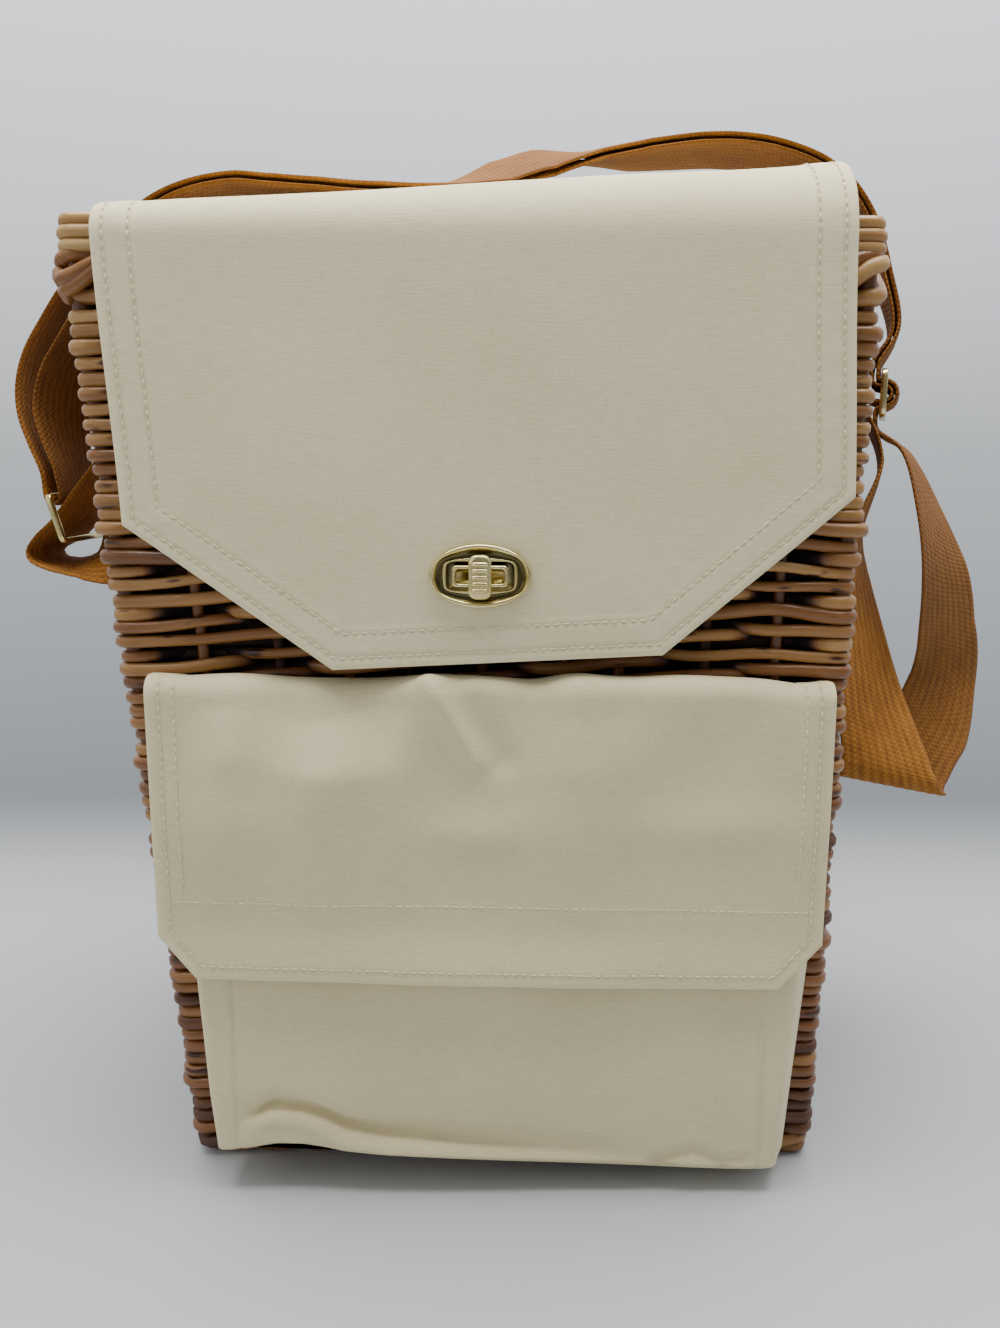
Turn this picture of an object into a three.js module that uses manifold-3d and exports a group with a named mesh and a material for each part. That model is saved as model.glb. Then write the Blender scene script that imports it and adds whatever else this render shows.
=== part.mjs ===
// A wicker picnic basket with a canvas lid flap, a canvas front pocket and a webbing shoulder strap.
// Millimetres, +Z up. The origin is on the floor under the middle of the foot, and the front faces -Y.

import * as THREE from 'three';
import { mergeVertices } from 'three/addons/utils/BufferGeometryUtils.js';
import Module from 'manifold-3d';

const wasm = await Module();
wasm.setup();

// Wicker body
const HEIGHT = 355;
const FOOT_WIDTH = 250;
const FOOT_DEPTH = 160;
const MOUTH_WIDTH = 280;
const MOUTH_DEPTH = 190;
const LEAN = -12.5; // the mouth stands this far to the left of the foot
const CORNER_RADIUS = 13;
const CORNER_STEPS = 3;
const WALL = 9;
const BASE_THICKNESS = 8;
const BASE_RADIUS = 2;
const FOOT_HEIGHT = 12;
const RIM_HEIGHT = 14;
const BORDER_BULGE = 1.5; // the borders are this much thicker than the wall on each side
const FOOT_INSET = 2.5; // the foot stands back from the wall's lowest rods
const BORDER_SIDES = 10;
const FOOT_FLATNESS = 1.6; // the foot's section is cut flat where a round one would pass its height

// Cloth, webbing and clearances
const CANVAS = 2;
const WEBBING = 1.8;
const STRAP_WIDTH = 38;
const GAP = 0.3;

// Lid flap
const LID_MIDDLE = -6; // at the hem
const LID_SKEW = -5; // the top lies this far to the left of the hem
const LID_SKEW_FROM = 240;
const LID_HALF = 123.5;
const LID_FACE = 101.5; // how far forward the hanging front stands
const LID_REST = 357.5; // top of the canvas where it lies on the rim
const LID_RISE = 17; // how much higher the front bend stands at the right than at the left
const LID_CROWN = 13.2;
const LID_BACK_DROP = 40;
const LID_BACK_BEND = 9;
const LID_FRONT_BEND = { left: 12, right: 28 };
const LID_STEP = 24;
const LID_HEM = columns('across z', [
  [-123.5, 253],
  [-54, 203.5],
  [60, 209],
  [123.5, 263],
]);

// Turn lock
const LOCK_X = -8.9;
const LOCK_Z = 236.3;
const LOCK_OVAL = { width: 35, height: 22, thickness: 1.2, bevel: 0.6 };
const LOCK_SLOT = { width: 23, height: 10, radius: 2 };
const LOCK_POST = { width: 19, height: 7.4, front: 104.6, bore: 2.1 };
const LOCK_BACK = { width: 32, height: 18, thickness: 1.4, face: 90.8 };
const BUTTON = { width: 7.8, height: 15, thickness: 2.6, bevel: 0.5, back: 105.2, pin: 1.7, pinLength: 4 };
const BUTTON_RIDGE = { width: 5.6, depth: 0.9, pitch: 3.6 };

// Front pocket, from the bottom up: half its width, how far forward its front stands and how far
// its back stands off the wall
const POCKET_MIDDLE = -2.5;
const POCKET_RADIUS = 4;
const POCKET = columns('z half front off', [
  [9, 101, 94.5, 1.8],
  [14, 106.5, 100.4, 1.2],
  [45, 108.5, 101.2, 0.3],
  [92, 111.5, 100, 0.3],
  [193, 114, 98.8, 0.3],
]);

// Pocket flap
const POCKET_FLAP_MIDDLE = -6.5;
const POCKET_FLAP_TOP = 201.4;
const POCKET_FLAP_FACE = 104;
const POCKET_FLAP_BEND = 6.5;
const POCKET_FLAP_TUCK = 1.2; // the back edge lies this far below the fold
const POCKET_FLAP_STEP = 9;
const POCKET_FLAP_HEM = columns('across z', [
  [-118.5, 106.5],
  [-105, 90.5],
  [105.5, 87],
  [121, 103.5],
]);
const POCKET_FLAP_FADE = 32; // the dents die out this far below the fold
const POCKET_FLAP_DENTS = columns('across width back down', [
  [-42, 20, 2.4, 1.6],
  [-14, 9, -1.4, -0.4],
  [26, 14, 2, 2],
  [112, 16, 1.2, 3],
]);

// Shoulder strap, slack side: out of the right wall, down, round the fold and up to the slider.
// turn swings the width from front-to-back towards the right, rise lifts its rear or right edge.
const SLACK_ROUTE = columns('x y z turn rise', [
  [116.1, 0, 280, 0, 0],
  [116.1, 0, 297, 0, 0],
  [118.4, 0, 303.4, 0, 0],
  [122.7, 0, 305.7, 0, 0],
  [129.2, 0, 306.3, 0, 0],
  [141.5, -1, 303.4, 8, 0],
  [153, -3, 291.6, 14, 0],
  [158.5, -6, 275, 18, 0],
  [149, -13, 247, 25, 0],
  [147, -16, 231, 35, 0],
  [151, -20, 200, 50, 0],
  [155, -26, 174, 62, 6],
  [159.5, -33, 155, 72, 11],
  [161.3, -34, 147, 80, 9],
  [163.5, -30.5, 141.6, 115, -11],
  [167, -26.5, 143.6, 88, -32],
  [175.5, -20, 152, 80, -36],
  [186.5, -12, 165, 76, -32],
  [192.5, -6, 183, 69, -14],
  [190.5, -10, 203, 58, -2],
  [183.5, -18, 231, 48, 0],
  [176.5, -17, 255, 36, 0],
  [168, -10, 279, 24, 0],
]);

// Shoulder strap, outer run: from the slider up, over the lid to the left and down to the ring.
// apart is how far inside it the second run lies that comes back from the ring, and twist is the
// second run's further turn.
const OUTER_ROUTE = columns('x y z turn rise apart twist', [
  [163, -2, 328, 18, 0, 2.5, 0],
  [156.8, -2, 351, 14, 0, 2.6, 0],
  [148, -1, 371, 8, 0, 2.8, 0],
  [137, 0, 384.5, 3, 0, 2.8, 0],
  [124, 0, 393, 0, 0, 2.8, 0],
  [107, -2, 398, 0, 0, 2.8, 0],
  [90, -5, 399.5, 0, 0, 2.8, 0],
  [72, -8, 398.5, 0, 0, 2.8, 0],
  [52, -12, 396, 0, 3, 2.8, 0],
  [34, -15, 394.5, 0, 12, 2.8, 0],
  [14, -18, 391.5, 0, 26, 2.8, 0],
  [-3, -21, 386, 0, 27, 2.8, 0],
  [-20, -23, 381, 0, 16, 2.8, 0],
  [-46, -25, 377.5, 0, 4, 2.8, 0],
  [-69, -24, 378, 0, 0, 2.8, 0],
  [-89, -21, 380, 0, 0, 2.8, 0],
  [-103, -18, 381.5, 0, 0, 2.8, 0],
  [-120, -14, 380, 0, 0, 2.8, 0],
  [-136, -9, 375.5, 0, 0, 3.2, 0],
  [-150, -5, 368, 0, 0, 4.5, 0],
  [-163, -2, 358.5, 0, 0, 7, 2],
  [-176, -1, 345.5, 0, 0, 10.5, 7],
  [-187, 0, 331, 0, 0, 12.5, 12],
  [-195, 0, 318, 0, 0, 13, 15],
  [-199, 0, 305, 0, 0, 12.5, 16],
  [-199, 0, 293, 0, 0, 11, 15],
  [-195.5, 0, 281, 0, 0, 8.5, 9],
  [-191.5, 0, 270, 0, 0, 6.3, 2],
]);

// Webbing loop through the left wall: out at the top, through the ring, slack below it and back in.
const TAB_ROUTE = columns('x y z turn rise', [
  [-134.4, 2, 264, 0, 0],
  [-135.8, 2, 282, 0, 0],
  [-138.8, 2, 288.2, 0, 0],
  [-142.9, 2, 290.3, 0, 0],
  [-150, 2, 290.6, 0, 0],
  [-162, 1.5, 282.3, 0, -5],
  [-171.2, 1, 269.4, 0, -11],
  [-178.5, 0.5, 259.5, 0, -14],
  [-184.5, 0, 251.5, 0, -14],
  [-189.2, -0.5, 246.2, 0, -12],
  [-194.8, -1, 242, 0, -9],
  [-198.8, -1.5, 238.2, 0, -3],
  [-197.8, -2, 234.2, 0, 0],
  [-192, -2.5, 231.6, 0, 2],
  [-186, -2.5, 231, 0, 6],
  [-180, -2.5, 231.8, 0, 14],
  [-174.3, -3, 234.6, 0, 40],
  [-169.6, -3.5, 237.2, 0, 59],
  [-164, -3.5, 239, 0, 56],
  [-157, -3, 240, 0, 34],
  [-150, -1, 240.6, 0, 10],
  [-145, 0.5, 240.6, 0, 0],
  [-138.7, 1, 240.3, 0, 0],
  [-134.5, 1, 238.2, 0, 0],
  [-131.6, 1, 232, 0, 0],
  [-130.2, 1, 216, 0, 0],
]);

// Slits that the webbing passes in the wall: middle, height and width
const WALL_SLITS = columns('x y z high wide', [
  [122.4, 0, 303.4, 9.6, 39.2],
  [-142.5, 2, 287.4, 9.6, 39.2],
  [-138.5, 0.4, 237.4, 9.6, 41.4],
]);
const SLIT_REACH = 24;

// Brass slider and ring: flat frames with square bars
const BAR = 2.6;
const SLIDER = { x: 159.5, y: -2, z: 303, turn: 20, half: 23.4, slot: 20.4, slotHigh: 5.6 };
const RING = { x: -185.2, y: 0, z: 251.5, lean: 15, half: 23.6, slot: 21, slotHigh: 16 };
const WRAP_RADIUS = 3.1;

// How the slack side threads the slider, and how the second run wraps its middle bar and ends.
const SLIDER_THREAD = columns('out up', [
  [-1.8, -14],
  [-2.75, -10.4],
  [-2.65, -6.8],
  [-1.9, -5.5],
  [0, -5.3],
  [3.75, -3.75],
  [5.3, 0],
  [3.75, 3.75],
  [0, 5.3],
  [-1.9, 5.5],
  [-2.65, 6.8],
  [-2.6, 9.5],
  [-2.6, 12],
]);
const SLIDER_WRAP = columns('out up', [
  [-5.1, 12],
  [-5.1, 6.6],
  [-4.5, 4.7],
  [-3.2, 3.5],
  [-1.6, 3.1],
  [0, WRAP_RADIUS],
  [2.2, 2.2],
  [WRAP_RADIUS, 0],
  [2.2, -2.2],
  [0, -WRAP_RADIUS],
  [-2.4, -3],
  [-5, -2.3],
  [-7, -0.2],
  [-7.6, 3.5],
  [-7.6, 12],
  [-7.6, 28],
]);
const STEPS_PER_STATION = 3;

// Table rows with named columns
function columns(names, rows) {
  const keys = names.split(' ');
  return rows.map((row) => Object.fromEntries(keys.map((key, i) => [key, row[i]])));
}

// A value read off a table by straight lines between its rows
function readTable(table, key, value, at) {
  const last = table.length - 1;
  const found = table.findIndex((row) => row[key] > at);
  const upper = found < 0 ? last : Math.max(found, 1);
  const low = table[upper - 1];
  const high = table[upper];
  return THREE.MathUtils.mapLinear(at, low[key], high[key], low[value], high[value]);
}

// A closed mesh from points and triangles, turned so that its faces point out
function closedMesh(points, faces) {
  let volume = 0;
  for (let f = 0; f < faces.length; f += 3) {
    const [a, b, c] = [points[faces[f]], points[faces[f + 1]], points[faces[f + 2]]];
    volume += a.dot(new THREE.Vector3().crossVectors(b, c));
  }
  const geometry = new THREE.BufferGeometry().setFromPoints(points);
  geometry.setIndex(volume < 0 ? [...faces].reverse() : faces);
  return geometry;
}

// A solid through rings with the same number of points. A round one closes on its first ring,
// and any other has its two end rings filled.
function loftSolid(rings, round) {
  const count = rings[0].length;
  const points = rings.flat();
  const faces = [];
  const spans = round ? rings.length : rings.length - 1;
  for (let r = 0; r < spans; r += 1) {
    const here = r * count;
    const next = ((r + 1) % rings.length) * count;
    for (let i = 0; i < count; i += 1) {
      const j = (i + 1) % count;
      faces.push(here + i, here + j, next + j, here + i, next + j, next + i);
    }
  }
  if (!round) {
    const end = (rings.length - 1) * count;
    for (let i = 1; i < count - 1; i += 1) {
      faces.push(0, i + 1, i, end, end + i, end + i + 1);
    }
  }
  return closedMesh(points, faces);
}

// A sheet of even thickness through a grid of points, with the share outward of it on the outer side
function sheetSolid(grid, thickness, outward) {
  const rows = grid.length;
  const count = grid[0].length;
  const points = [];
  for (const side of [outward, outward - 1]) {
    for (let i = 0; i < rows; i += 1) {
      for (let j = 0; j < count; j += 1) {
        const along = grid[Math.min(i + 1, rows - 1)][j].clone().sub(grid[Math.max(i - 1, 0)][j]);
        const across = grid[i][Math.min(j + 1, count - 1)].clone().sub(grid[i][Math.max(j - 1, 0)]);
        const normal = across.cross(along).normalize();
        points.push(grid[i][j].clone().addScaledVector(normal, side * thickness));
      }
    }
  }
  const faces = [];
  const layer = rows * count;
  const quad = (a, b, c, d) => faces.push(a, b, c, a, c, d);
  for (let i = 0; i < rows - 1; i += 1) {
    for (let j = 0; j < count - 1; j += 1) {
      const a = i * count + j;
      quad(a, a + count, a + count + 1, a + 1);
      quad(layer + a, layer + a + 1, layer + a + count + 1, layer + a + count);
    }
    const first = i * count;
    const last = first + count - 1;
    quad(first, layer + first, layer + first + count, first + count);
    quad(last, last + count, layer + last + count, layer + last);
  }
  for (let j = 0; j < count - 1; j += 1) {
    const end = (rows - 1) * count + j;
    quad(j, j + 1, layer + j + 1, layer + j);
    quad(end, layer + end, layer + end + 1, end + 1);
  }
  return closedMesh(points, faces);
}

// Joining and cutting of closed meshes
function toSolid(geometry) {
  const bare = geometry.clone();
  bare.deleteAttribute('normal');
  bare.deleteAttribute('uv');
  const merged = mergeVertices(bare, 1e-4);
  const vertProperties = new Float32Array(merged.attributes.position.array);
  const triVerts = new Uint32Array(merged.index.array);
  return new wasm.Manifold(new wasm.Mesh({ numProp: 3, vertProperties, triVerts }));
}

function toGeometry(solid) {
  const mesh = solid.getMesh();
  const geometry = new THREE.BufferGeometry();
  geometry.setAttribute('position', new THREE.BufferAttribute(mesh.vertProperties, 3));
  geometry.setIndex(new THREE.BufferAttribute(mesh.triVerts, 1));
  return geometry;
}

function joined(...geometries) {
  return toGeometry(geometries.map(toSolid).reduce((whole, piece) => whole.add(piece)));
}

function cut(geometry, ...cutters) {
  return toGeometry(cutters.map(toSolid).reduce((whole, piece) => whole.subtract(piece), toSolid(geometry)));
}

// A rounded rectangle about the origin
function roundedOutline(halfX, halfY, radius, outline = new THREE.Shape()) {
  const x = halfX - radius;
  const y = halfY - radius;
  const quarter = Math.PI / 2;
  outline.absarc(x, y, radius, 0, quarter, false);
  outline.absarc(-x, y, radius, quarter, 2 * quarter, false);
  outline.absarc(-x, -y, radius, 2 * quarter, 3 * quarter, false);
  outline.absarc(x, -y, radius, 3 * quarter, 4 * quarter, false);
  return outline;
}

// A plate of the outline, depth thick, with its face turned to -Y and its back at y = -back
function frontPlate(outline, depth, back, bevel, steps) {
  const geometry = new THREE.ExtrudeGeometry(outline, {
    depth,
    curveSegments: steps,
    bevelEnabled: bevel > 0,
    bevelThickness: bevel,
    bevelSize: bevel,
    bevelOffset: -bevel,
    bevelSegments: 2,
  });
  geometry.rotateX(Math.PI / 2);
  return geometry.translate(0, -back - bevel, 0);
}

// Half width, half depth and middle of the body's outside at a height
function bodyAt(z) {
  const t = z / HEIGHT;
  return {
    halfX: THREE.MathUtils.lerp(FOOT_WIDTH, MOUTH_WIDTH, t) / 2,
    halfY: THREE.MathUtils.lerp(FOOT_DEPTH, MOUTH_DEPTH, t) / 2,
    middleX: LEAN * t,
  };
}

function bodyRing(z, outset) {
  const { halfX, halfY, middleX } = bodyAt(z);
  const outline = roundedOutline(halfX + outset, halfY + outset, CORNER_RADIUS + outset);
  return outline.getPoints(CORNER_STEPS).map((point) => new THREE.Vector3(point.x + middleX, point.y, z));
}

// Woven side wall, open at both ends and slit where the webbing passes
function makeBasketWall() {
  const bottom = FOOT_HEIGHT + GAP;
  const top = HEIGHT - RIM_HEIGHT - GAP;
  const wall = loftSolid(
    [bodyRing(bottom, 0), bodyRing(top, 0), bodyRing(top, -WALL), bodyRing(bottom, -WALL)],
    true,
  );
  const slits = WALL_SLITS.map(({ x, y, z, high, wide }) =>
    new THREE.BoxGeometry(SLIT_REACH, wide, high).translate(x, y, z));
  return cut(wall, ...slits);
}

// Bottom panel inside the foot border
function makeBasePanel() {
  const { halfX, halfY } = bodyAt(0);
  const inset = FOOT_INSET + WALL + BORDER_BULGE + GAP;
  const outline = roundedOutline(halfX - inset, halfY - inset, BASE_RADIUS);
  return new THREE.ExtrudeGeometry(outline, {
    depth: BASE_THICKNESS,
    curveSegments: CORNER_STEPS,
    bevelEnabled: false,
  });
}

// Border with a rounded section, as wide as the wall and a little more, between two heights
function makeBorder(bottom, height, inset, flatBottom) {
  const radius = height / 2;
  const halfThick = WALL / 2 + BORDER_BULGE;
  const rings = [];
  for (let side = 0; side < BORDER_SIDES; side += 1) {
    const angle = ((side + 0.5) / BORDER_SIDES) * 2 * Math.PI;
    const outset = halfThick * Math.cos(angle) - WALL / 2 - inset;
    const lift = Math.max(Math.sin(angle) * (flatBottom ? FOOT_FLATNESS : 1), -1);
    rings.push(bodyRing(bottom + radius + radius * Math.min(lift, 1), outset));
  }
  return loftSolid(rings, true);
}

// Stations across a flap, with every corner of its hem among them
function flapStations(hem, step) {
  const stations = [];
  for (let i = 0; i < hem.length - 1; i += 1) {
    const from = hem[i].across;
    const count = Math.ceil((hem[i + 1].across - from) / step);
    for (let k = 0; k < count; k += 1) {
      stations.push(THREE.MathUtils.lerp(from, hem[i + 1].across, k / count));
    }
  }
  stations.push(hem[hem.length - 1].across);
  return stations;
}

// Points of an arc in the side view, from one angle to another, with 0 towards the back and 90 up
function sideArc(y, z, radius, from, to, steps) {
  const points = [];
  for (let k = 0; k <= steps; k += 1) {
    const angle = THREE.MathUtils.degToRad(THREE.MathUtils.lerp(from, to, k / steps));
    points.push(new THREE.Vector2(y + radius * Math.cos(angle), z + radius * Math.sin(angle)));
  }
  return points;
}

// Side view of the lid at one place across: up the back, over the mouth and down the front
function lidProfile(across) {
  const share = (across + LID_HALF) / (2 * LID_HALF);
  const bend = THREE.MathUtils.lerp(LID_FRONT_BEND.left, LID_FRONT_BEND.right, share);
  const apex = LID_REST + LID_RISE * share;
  const hem = readTable(LID_HEM, 'across', 'z', across);
  const back = MOUTH_DEPTH / 2 + BORDER_BULGE + GAP + CANVAS;
  const backApex = back - LID_BACK_BEND;
  const frontApex = bend - LID_FACE;
  const crown = LID_CROWN * 4 * share * (1 - share);
  const profile = [
    new THREE.Vector2(back, LID_REST - LID_BACK_DROP),
    ...sideArc(backApex, LID_REST - LID_BACK_BEND, LID_BACK_BEND, 0, 90, 3),
  ];
  const topSteps = 6;
  for (let k = 1; k < topSteps; k += 1) {
    const t = k / topSteps;
    const z = THREE.MathUtils.lerp(LID_REST, apex, t) + crown * Math.sin(Math.PI * t);
    profile.push(new THREE.Vector2(THREE.MathUtils.lerp(backApex, frontApex, t), z));
  }
  profile.push(...sideArc(frontApex, apex - bend, bend, 90, 180, 5));
  const dropSteps = 3;
  for (let k = 1; k <= dropSteps; k += 1) {
    profile.push(new THREE.Vector2(-LID_FACE, THREE.MathUtils.lerp(apex - bend, hem, k / dropSteps)));
  }
  return profile;
}

function makeLidFlap() {
  const grid = flapStations(LID_HEM, LID_STEP).map((across) =>
    lidProfile(across).map((point) => {
      const skew = LID_SKEW * THREE.MathUtils.smoothstep(point.y, LID_SKEW_FROM, LID_REST);
      return new THREE.Vector3(LID_MIDDLE + across + skew, point.x, point.y);
    }));
  const sheet = sheetSolid(grid, CANVAS, 0);
  const hole = new THREE.BoxGeometry(LOCK_SLOT.width, 6 * CANVAS, LOCK_SLOT.height);
  return cut(sheet, hole.translate(LOCK_X, -LID_FACE, LOCK_Z));
}

// How far a dent row reaches at a place across, from 0 to 1
function dentShare(dent, across) {
  return Math.exp(-(((across - dent.across) / dent.width) ** 2));
}

// Side view of the pocket flap at one place across: from the wall over its fold and down the front
function pocketFlapProfile(across) {
  let back = 0;
  let down = 0;
  for (const dent of POCKET_FLAP_DENTS) {
    back += dent.back * dentShare(dent, across);
    down += dent.down * dentShare(dent, across);
  }
  const top = POCKET_FLAP_TOP - down;
  const face = POCKET_FLAP_FACE;
  const wall = bodyAt(top).halfY + GAP;
  const hem = readTable(POCKET_FLAP_HEM, 'across', 'z', across);
  const bendY = POCKET_FLAP_BEND - face + back;
  const profile = [
    new THREE.Vector2(-wall, top - POCKET_FLAP_TUCK),
    ...sideArc(bendY, top - POCKET_FLAP_BEND, POCKET_FLAP_BEND, 75, 180, 4),
  ];
  const from = top - POCKET_FLAP_BEND;
  for (const drop of [POCKET_FLAP_FADE / 2, POCKET_FLAP_FADE]) {
    const share = 1 - drop / POCKET_FLAP_FADE;
    profile.push(new THREE.Vector2(-face + back * share, from - drop));
  }
  profile.push(new THREE.Vector2(-face, (from - POCKET_FLAP_FADE + hem) / 2));
  profile.push(new THREE.Vector2(-face, hem));
  return profile;
}

function makePocketFlap() {
  const grid = flapStations(POCKET_FLAP_HEM, POCKET_FLAP_STEP).map((across) =>
    pocketFlapProfile(across).map((point) => new THREE.Vector3(POCKET_FLAP_MIDDLE + across, point.x, point.y)));
  return sheetSolid(grid, CANVAS, 0);
}

// Level ring of the pocket, drawn in by the canvas for its inside
function pocketRing({ z, half, front, off }, level, inset) {
  const back = bodyAt(z).halfY + off;
  const halfY = (front - back) / 2 - inset;
  const outline = roundedOutline(half - inset, halfY, POCKET_RADIUS - inset);
  const middleY = -(front + back) / 2;
  return outline.getPoints(2).map((point) =>
    new THREE.Vector3(POCKET_MIDDLE + point.x, middleY + point.y, level));
}

function makePocketBag() {
  const outside = POCKET.map((row) => pocketRing(row, row.z, 0));
  const inside = POCKET.slice(1).map((row) => pocketRing(row, row.z, CANVAS)).reverse();
  const floor = pocketRing(POCKET[0], POCKET[0].z + CANVAS, CANVAS);
  return loftSolid([...outside, ...inside, floor], false);
}

// Brass of the turn lock, made about the lock's middle
function makeLockPlate() {
  const outline = new THREE.Shape();
  outline.absellipse(0, 0, LOCK_OVAL.width / 2, LOCK_OVAL.height / 2, 0, 2 * Math.PI, false);
  const slot = roundedOutline(LOCK_SLOT.width / 2, LOCK_SLOT.height / 2, LOCK_SLOT.radius, new THREE.Path());
  outline.holes.push(slot);
  return frontPlate(outline, LOCK_OVAL.thickness, LID_FACE + GAP, LOCK_OVAL.bevel, 12);
}

function makeLockBase() {
  const plate = roundedOutline(LOCK_BACK.width / 2, LOCK_BACK.height / 2, 3);
  const post = roundedOutline(LOCK_POST.width / 2, LOCK_POST.height / 2, 1.2);
  const postDepth = LOCK_POST.front - LOCK_BACK.face;
  const bore = new THREE.CylinderGeometry(LOCK_POST.bore, LOCK_POST.bore, BUTTON.pinLength + 2, 16);
  return cut(
    joined(
      frontPlate(plate, LOCK_BACK.thickness, LOCK_BACK.face, 0, 3),
      frontPlate(post, postDepth, LOCK_BACK.face, 0, 2),
    ),
    bore.translate(0, -LOCK_POST.front, 0),
  );
}

function makeTurnButton() {
  const grip = roundedOutline(BUTTON.width / 2, BUTTON.height / 2, BUTTON.width / 2 - 0.4);
  const body = frontPlate(grip, BUTTON.thickness, BUTTON.back, BUTTON.bevel, 4);
  const pin = new THREE.CylinderGeometry(BUTTON.pin, BUTTON.pin, BUTTON.pinLength, 16);
  const face = BUTTON.back + BUTTON.thickness + 2 * BUTTON.bevel;
  const ridges = [-1, 0, 1].map((place) => {
    const ridge = new THREE.CylinderGeometry(BUTTON_RIDGE.depth, BUTTON_RIDGE.depth, BUTTON_RIDGE.width, 10);
    ridge.rotateZ(Math.PI / 2);
    return ridge.translate(0, -face, place * BUTTON_RIDGE.pitch);
  });
  const pinMiddle = BUTTON.back - BUTTON.pinLength / 2 + 1;
  return joined(body, pin.translate(0, -pinMiddle, 0), ...ridges);
}

// Place and width direction of the webbing at one row of a route
function station({ x, y, z, turn, rise }) {
  const swing = THREE.MathUtils.degToRad(turn);
  const lift = THREE.MathUtils.degToRad(rise);
  const width = new THREE.Vector3(
    Math.sin(swing) * Math.cos(lift),
    Math.cos(swing) * Math.cos(lift),
    Math.sin(lift),
  );
  return { at: new THREE.Vector3(x, y, z), width };
}

// Stations at the slider, from places given outward and upward of its middle
function sliderStations(rows) {
  const swing = THREE.MathUtils.degToRad(SLIDER.turn);
  const outward = new THREE.Vector3(Math.cos(swing), -Math.sin(swing), 0);
  return rows.map(({ out, up }) => ({
    at: new THREE.Vector3(SLIDER.x, SLIDER.y, SLIDER.z + up).addScaledVector(outward, out),
    width: new THREE.Vector3(Math.sin(swing), Math.cos(swing), 0),
  }));
}

// Stations round the upper bar of the ring, from its outer side under it to its inner side
function ringStations() {
  const lean = THREE.MathUtils.degToRad(RING.lean);
  const up = (RING.slotHigh + BAR) / 2;
  return [180, 225, 270, 315, 360].map((degrees) => {
    const angle = THREE.MathUtils.degToRad(degrees);
    const x = RING.x - up * Math.sin(lean) + WRAP_RADIUS * Math.cos(angle);
    const z = RING.z + up * Math.cos(lean) + WRAP_RADIUS * Math.sin(angle);
    return { at: new THREE.Vector3(x, RING.y, z), width: new THREE.Vector3(0, 1, 0) };
  });
}

// The run inside the outer one, set in from it by each row's distance apart, in the other direction
function innerStations(rows) {
  const outer = rows.map(station);
  const inner = outer.map(({ at, width }, i) => {
    const before = outer[Math.max(i - 1, 0)].at;
    const after = outer[Math.min(i + 1, outer.length - 1)].at;
    const inward = after.clone().sub(before).cross(width).normalize();
    const twisted = station({ ...rows[i], turn: rows[i].turn + rows[i].twist });
    return { at: at.clone().addScaledVector(inward, rows[i].apart), width: twisted.width };
  });
  return inner.reverse();
}

// Flat webbing along a smooth line through the stations
function webbing(stations) {
  const middle = new THREE.CatmullRomCurve3(stations.map(({ at }) => at), false, 'centripetal');
  const spans = stations.length - 1;
  const grid = [];
  for (let k = 0; k <= spans * STEPS_PER_STATION; k += 1) {
    const place = k / STEPS_PER_STATION;
    const from = Math.min(Math.floor(place), spans - 1);
    const width = stations[from].width.clone().lerp(stations[from + 1].width, place - from);
    const at = middle.getPoint(k / (spans * STEPS_PER_STATION));
    const along = middle.getTangent(k / (spans * STEPS_PER_STATION));
    width.addScaledVector(along, -width.dot(along)).setLength(STRAP_WIDTH / 2);
    grid.push([at.clone().sub(width), at.clone().add(width)]);
  }
  return sheetSolid(grid, WEBBING, 0.5);
}

function makeShoulderStrap() {
  return webbing([
    ...SLACK_ROUTE.map(station),
    ...sliderStations(SLIDER_THREAD),
    ...OUTER_ROUTE.map(station),
    ...ringStations(),
    ...innerStations(OUTER_ROUTE),
    ...sliderStations(SLIDER_WRAP),
  ]);
}

// Flat brass frame with slots one above the other, with its face turned to +X
function makeFrame(half, slotHalf, slotHigh, slots) {
  const high = slots * slotHigh + (slots + 1) * BAR;
  const outline = roundedOutline(half, high / 2, 2);
  for (let k = 0; k < slots; k += 1) {
    const middle = (k - (slots - 1) / 2) * (slotHigh + BAR);
    const slot = roundedOutline(slotHalf, slotHigh / 2, 0.8).getPoints(2);
    outline.holes.push(new THREE.Path(slot.map((point) => new THREE.Vector2(point.x, point.y + middle))));
  }
  const frame = new THREE.ExtrudeGeometry(outline, { depth: BAR, curveSegments: 3, bevelEnabled: false });
  frame.translate(0, 0, -BAR / 2);
  frame.rotateX(Math.PI / 2);
  return frame.rotateZ(Math.PI / 2);
}

// Finishes
const wicker = () => new THREE.MeshStandardMaterial({ color: 0x9a6238, roughness: 0.6, metalness: 0 });
const canvas = () => new THREE.MeshStandardMaterial({ color: 0xd9d2ba, roughness: 0.9, metalness: 0 });
const tape = () => new THREE.MeshStandardMaterial({ color: 0xa8692e, roughness: 0.85, metalness: 0 });
const brass = () => new THREE.MeshStandardMaterial({ color: 0xcdb871, roughness: 0.25, metalness: 1 });

const basket = new THREE.Group();

function place(name, geometry, material, x = 0, y = 0, z = 0) {
  const mesh = new THREE.Mesh(geometry, material);
  mesh.name = name;
  mesh.position.set(x, y, z);
  basket.add(mesh);
  return mesh;
}

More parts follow.
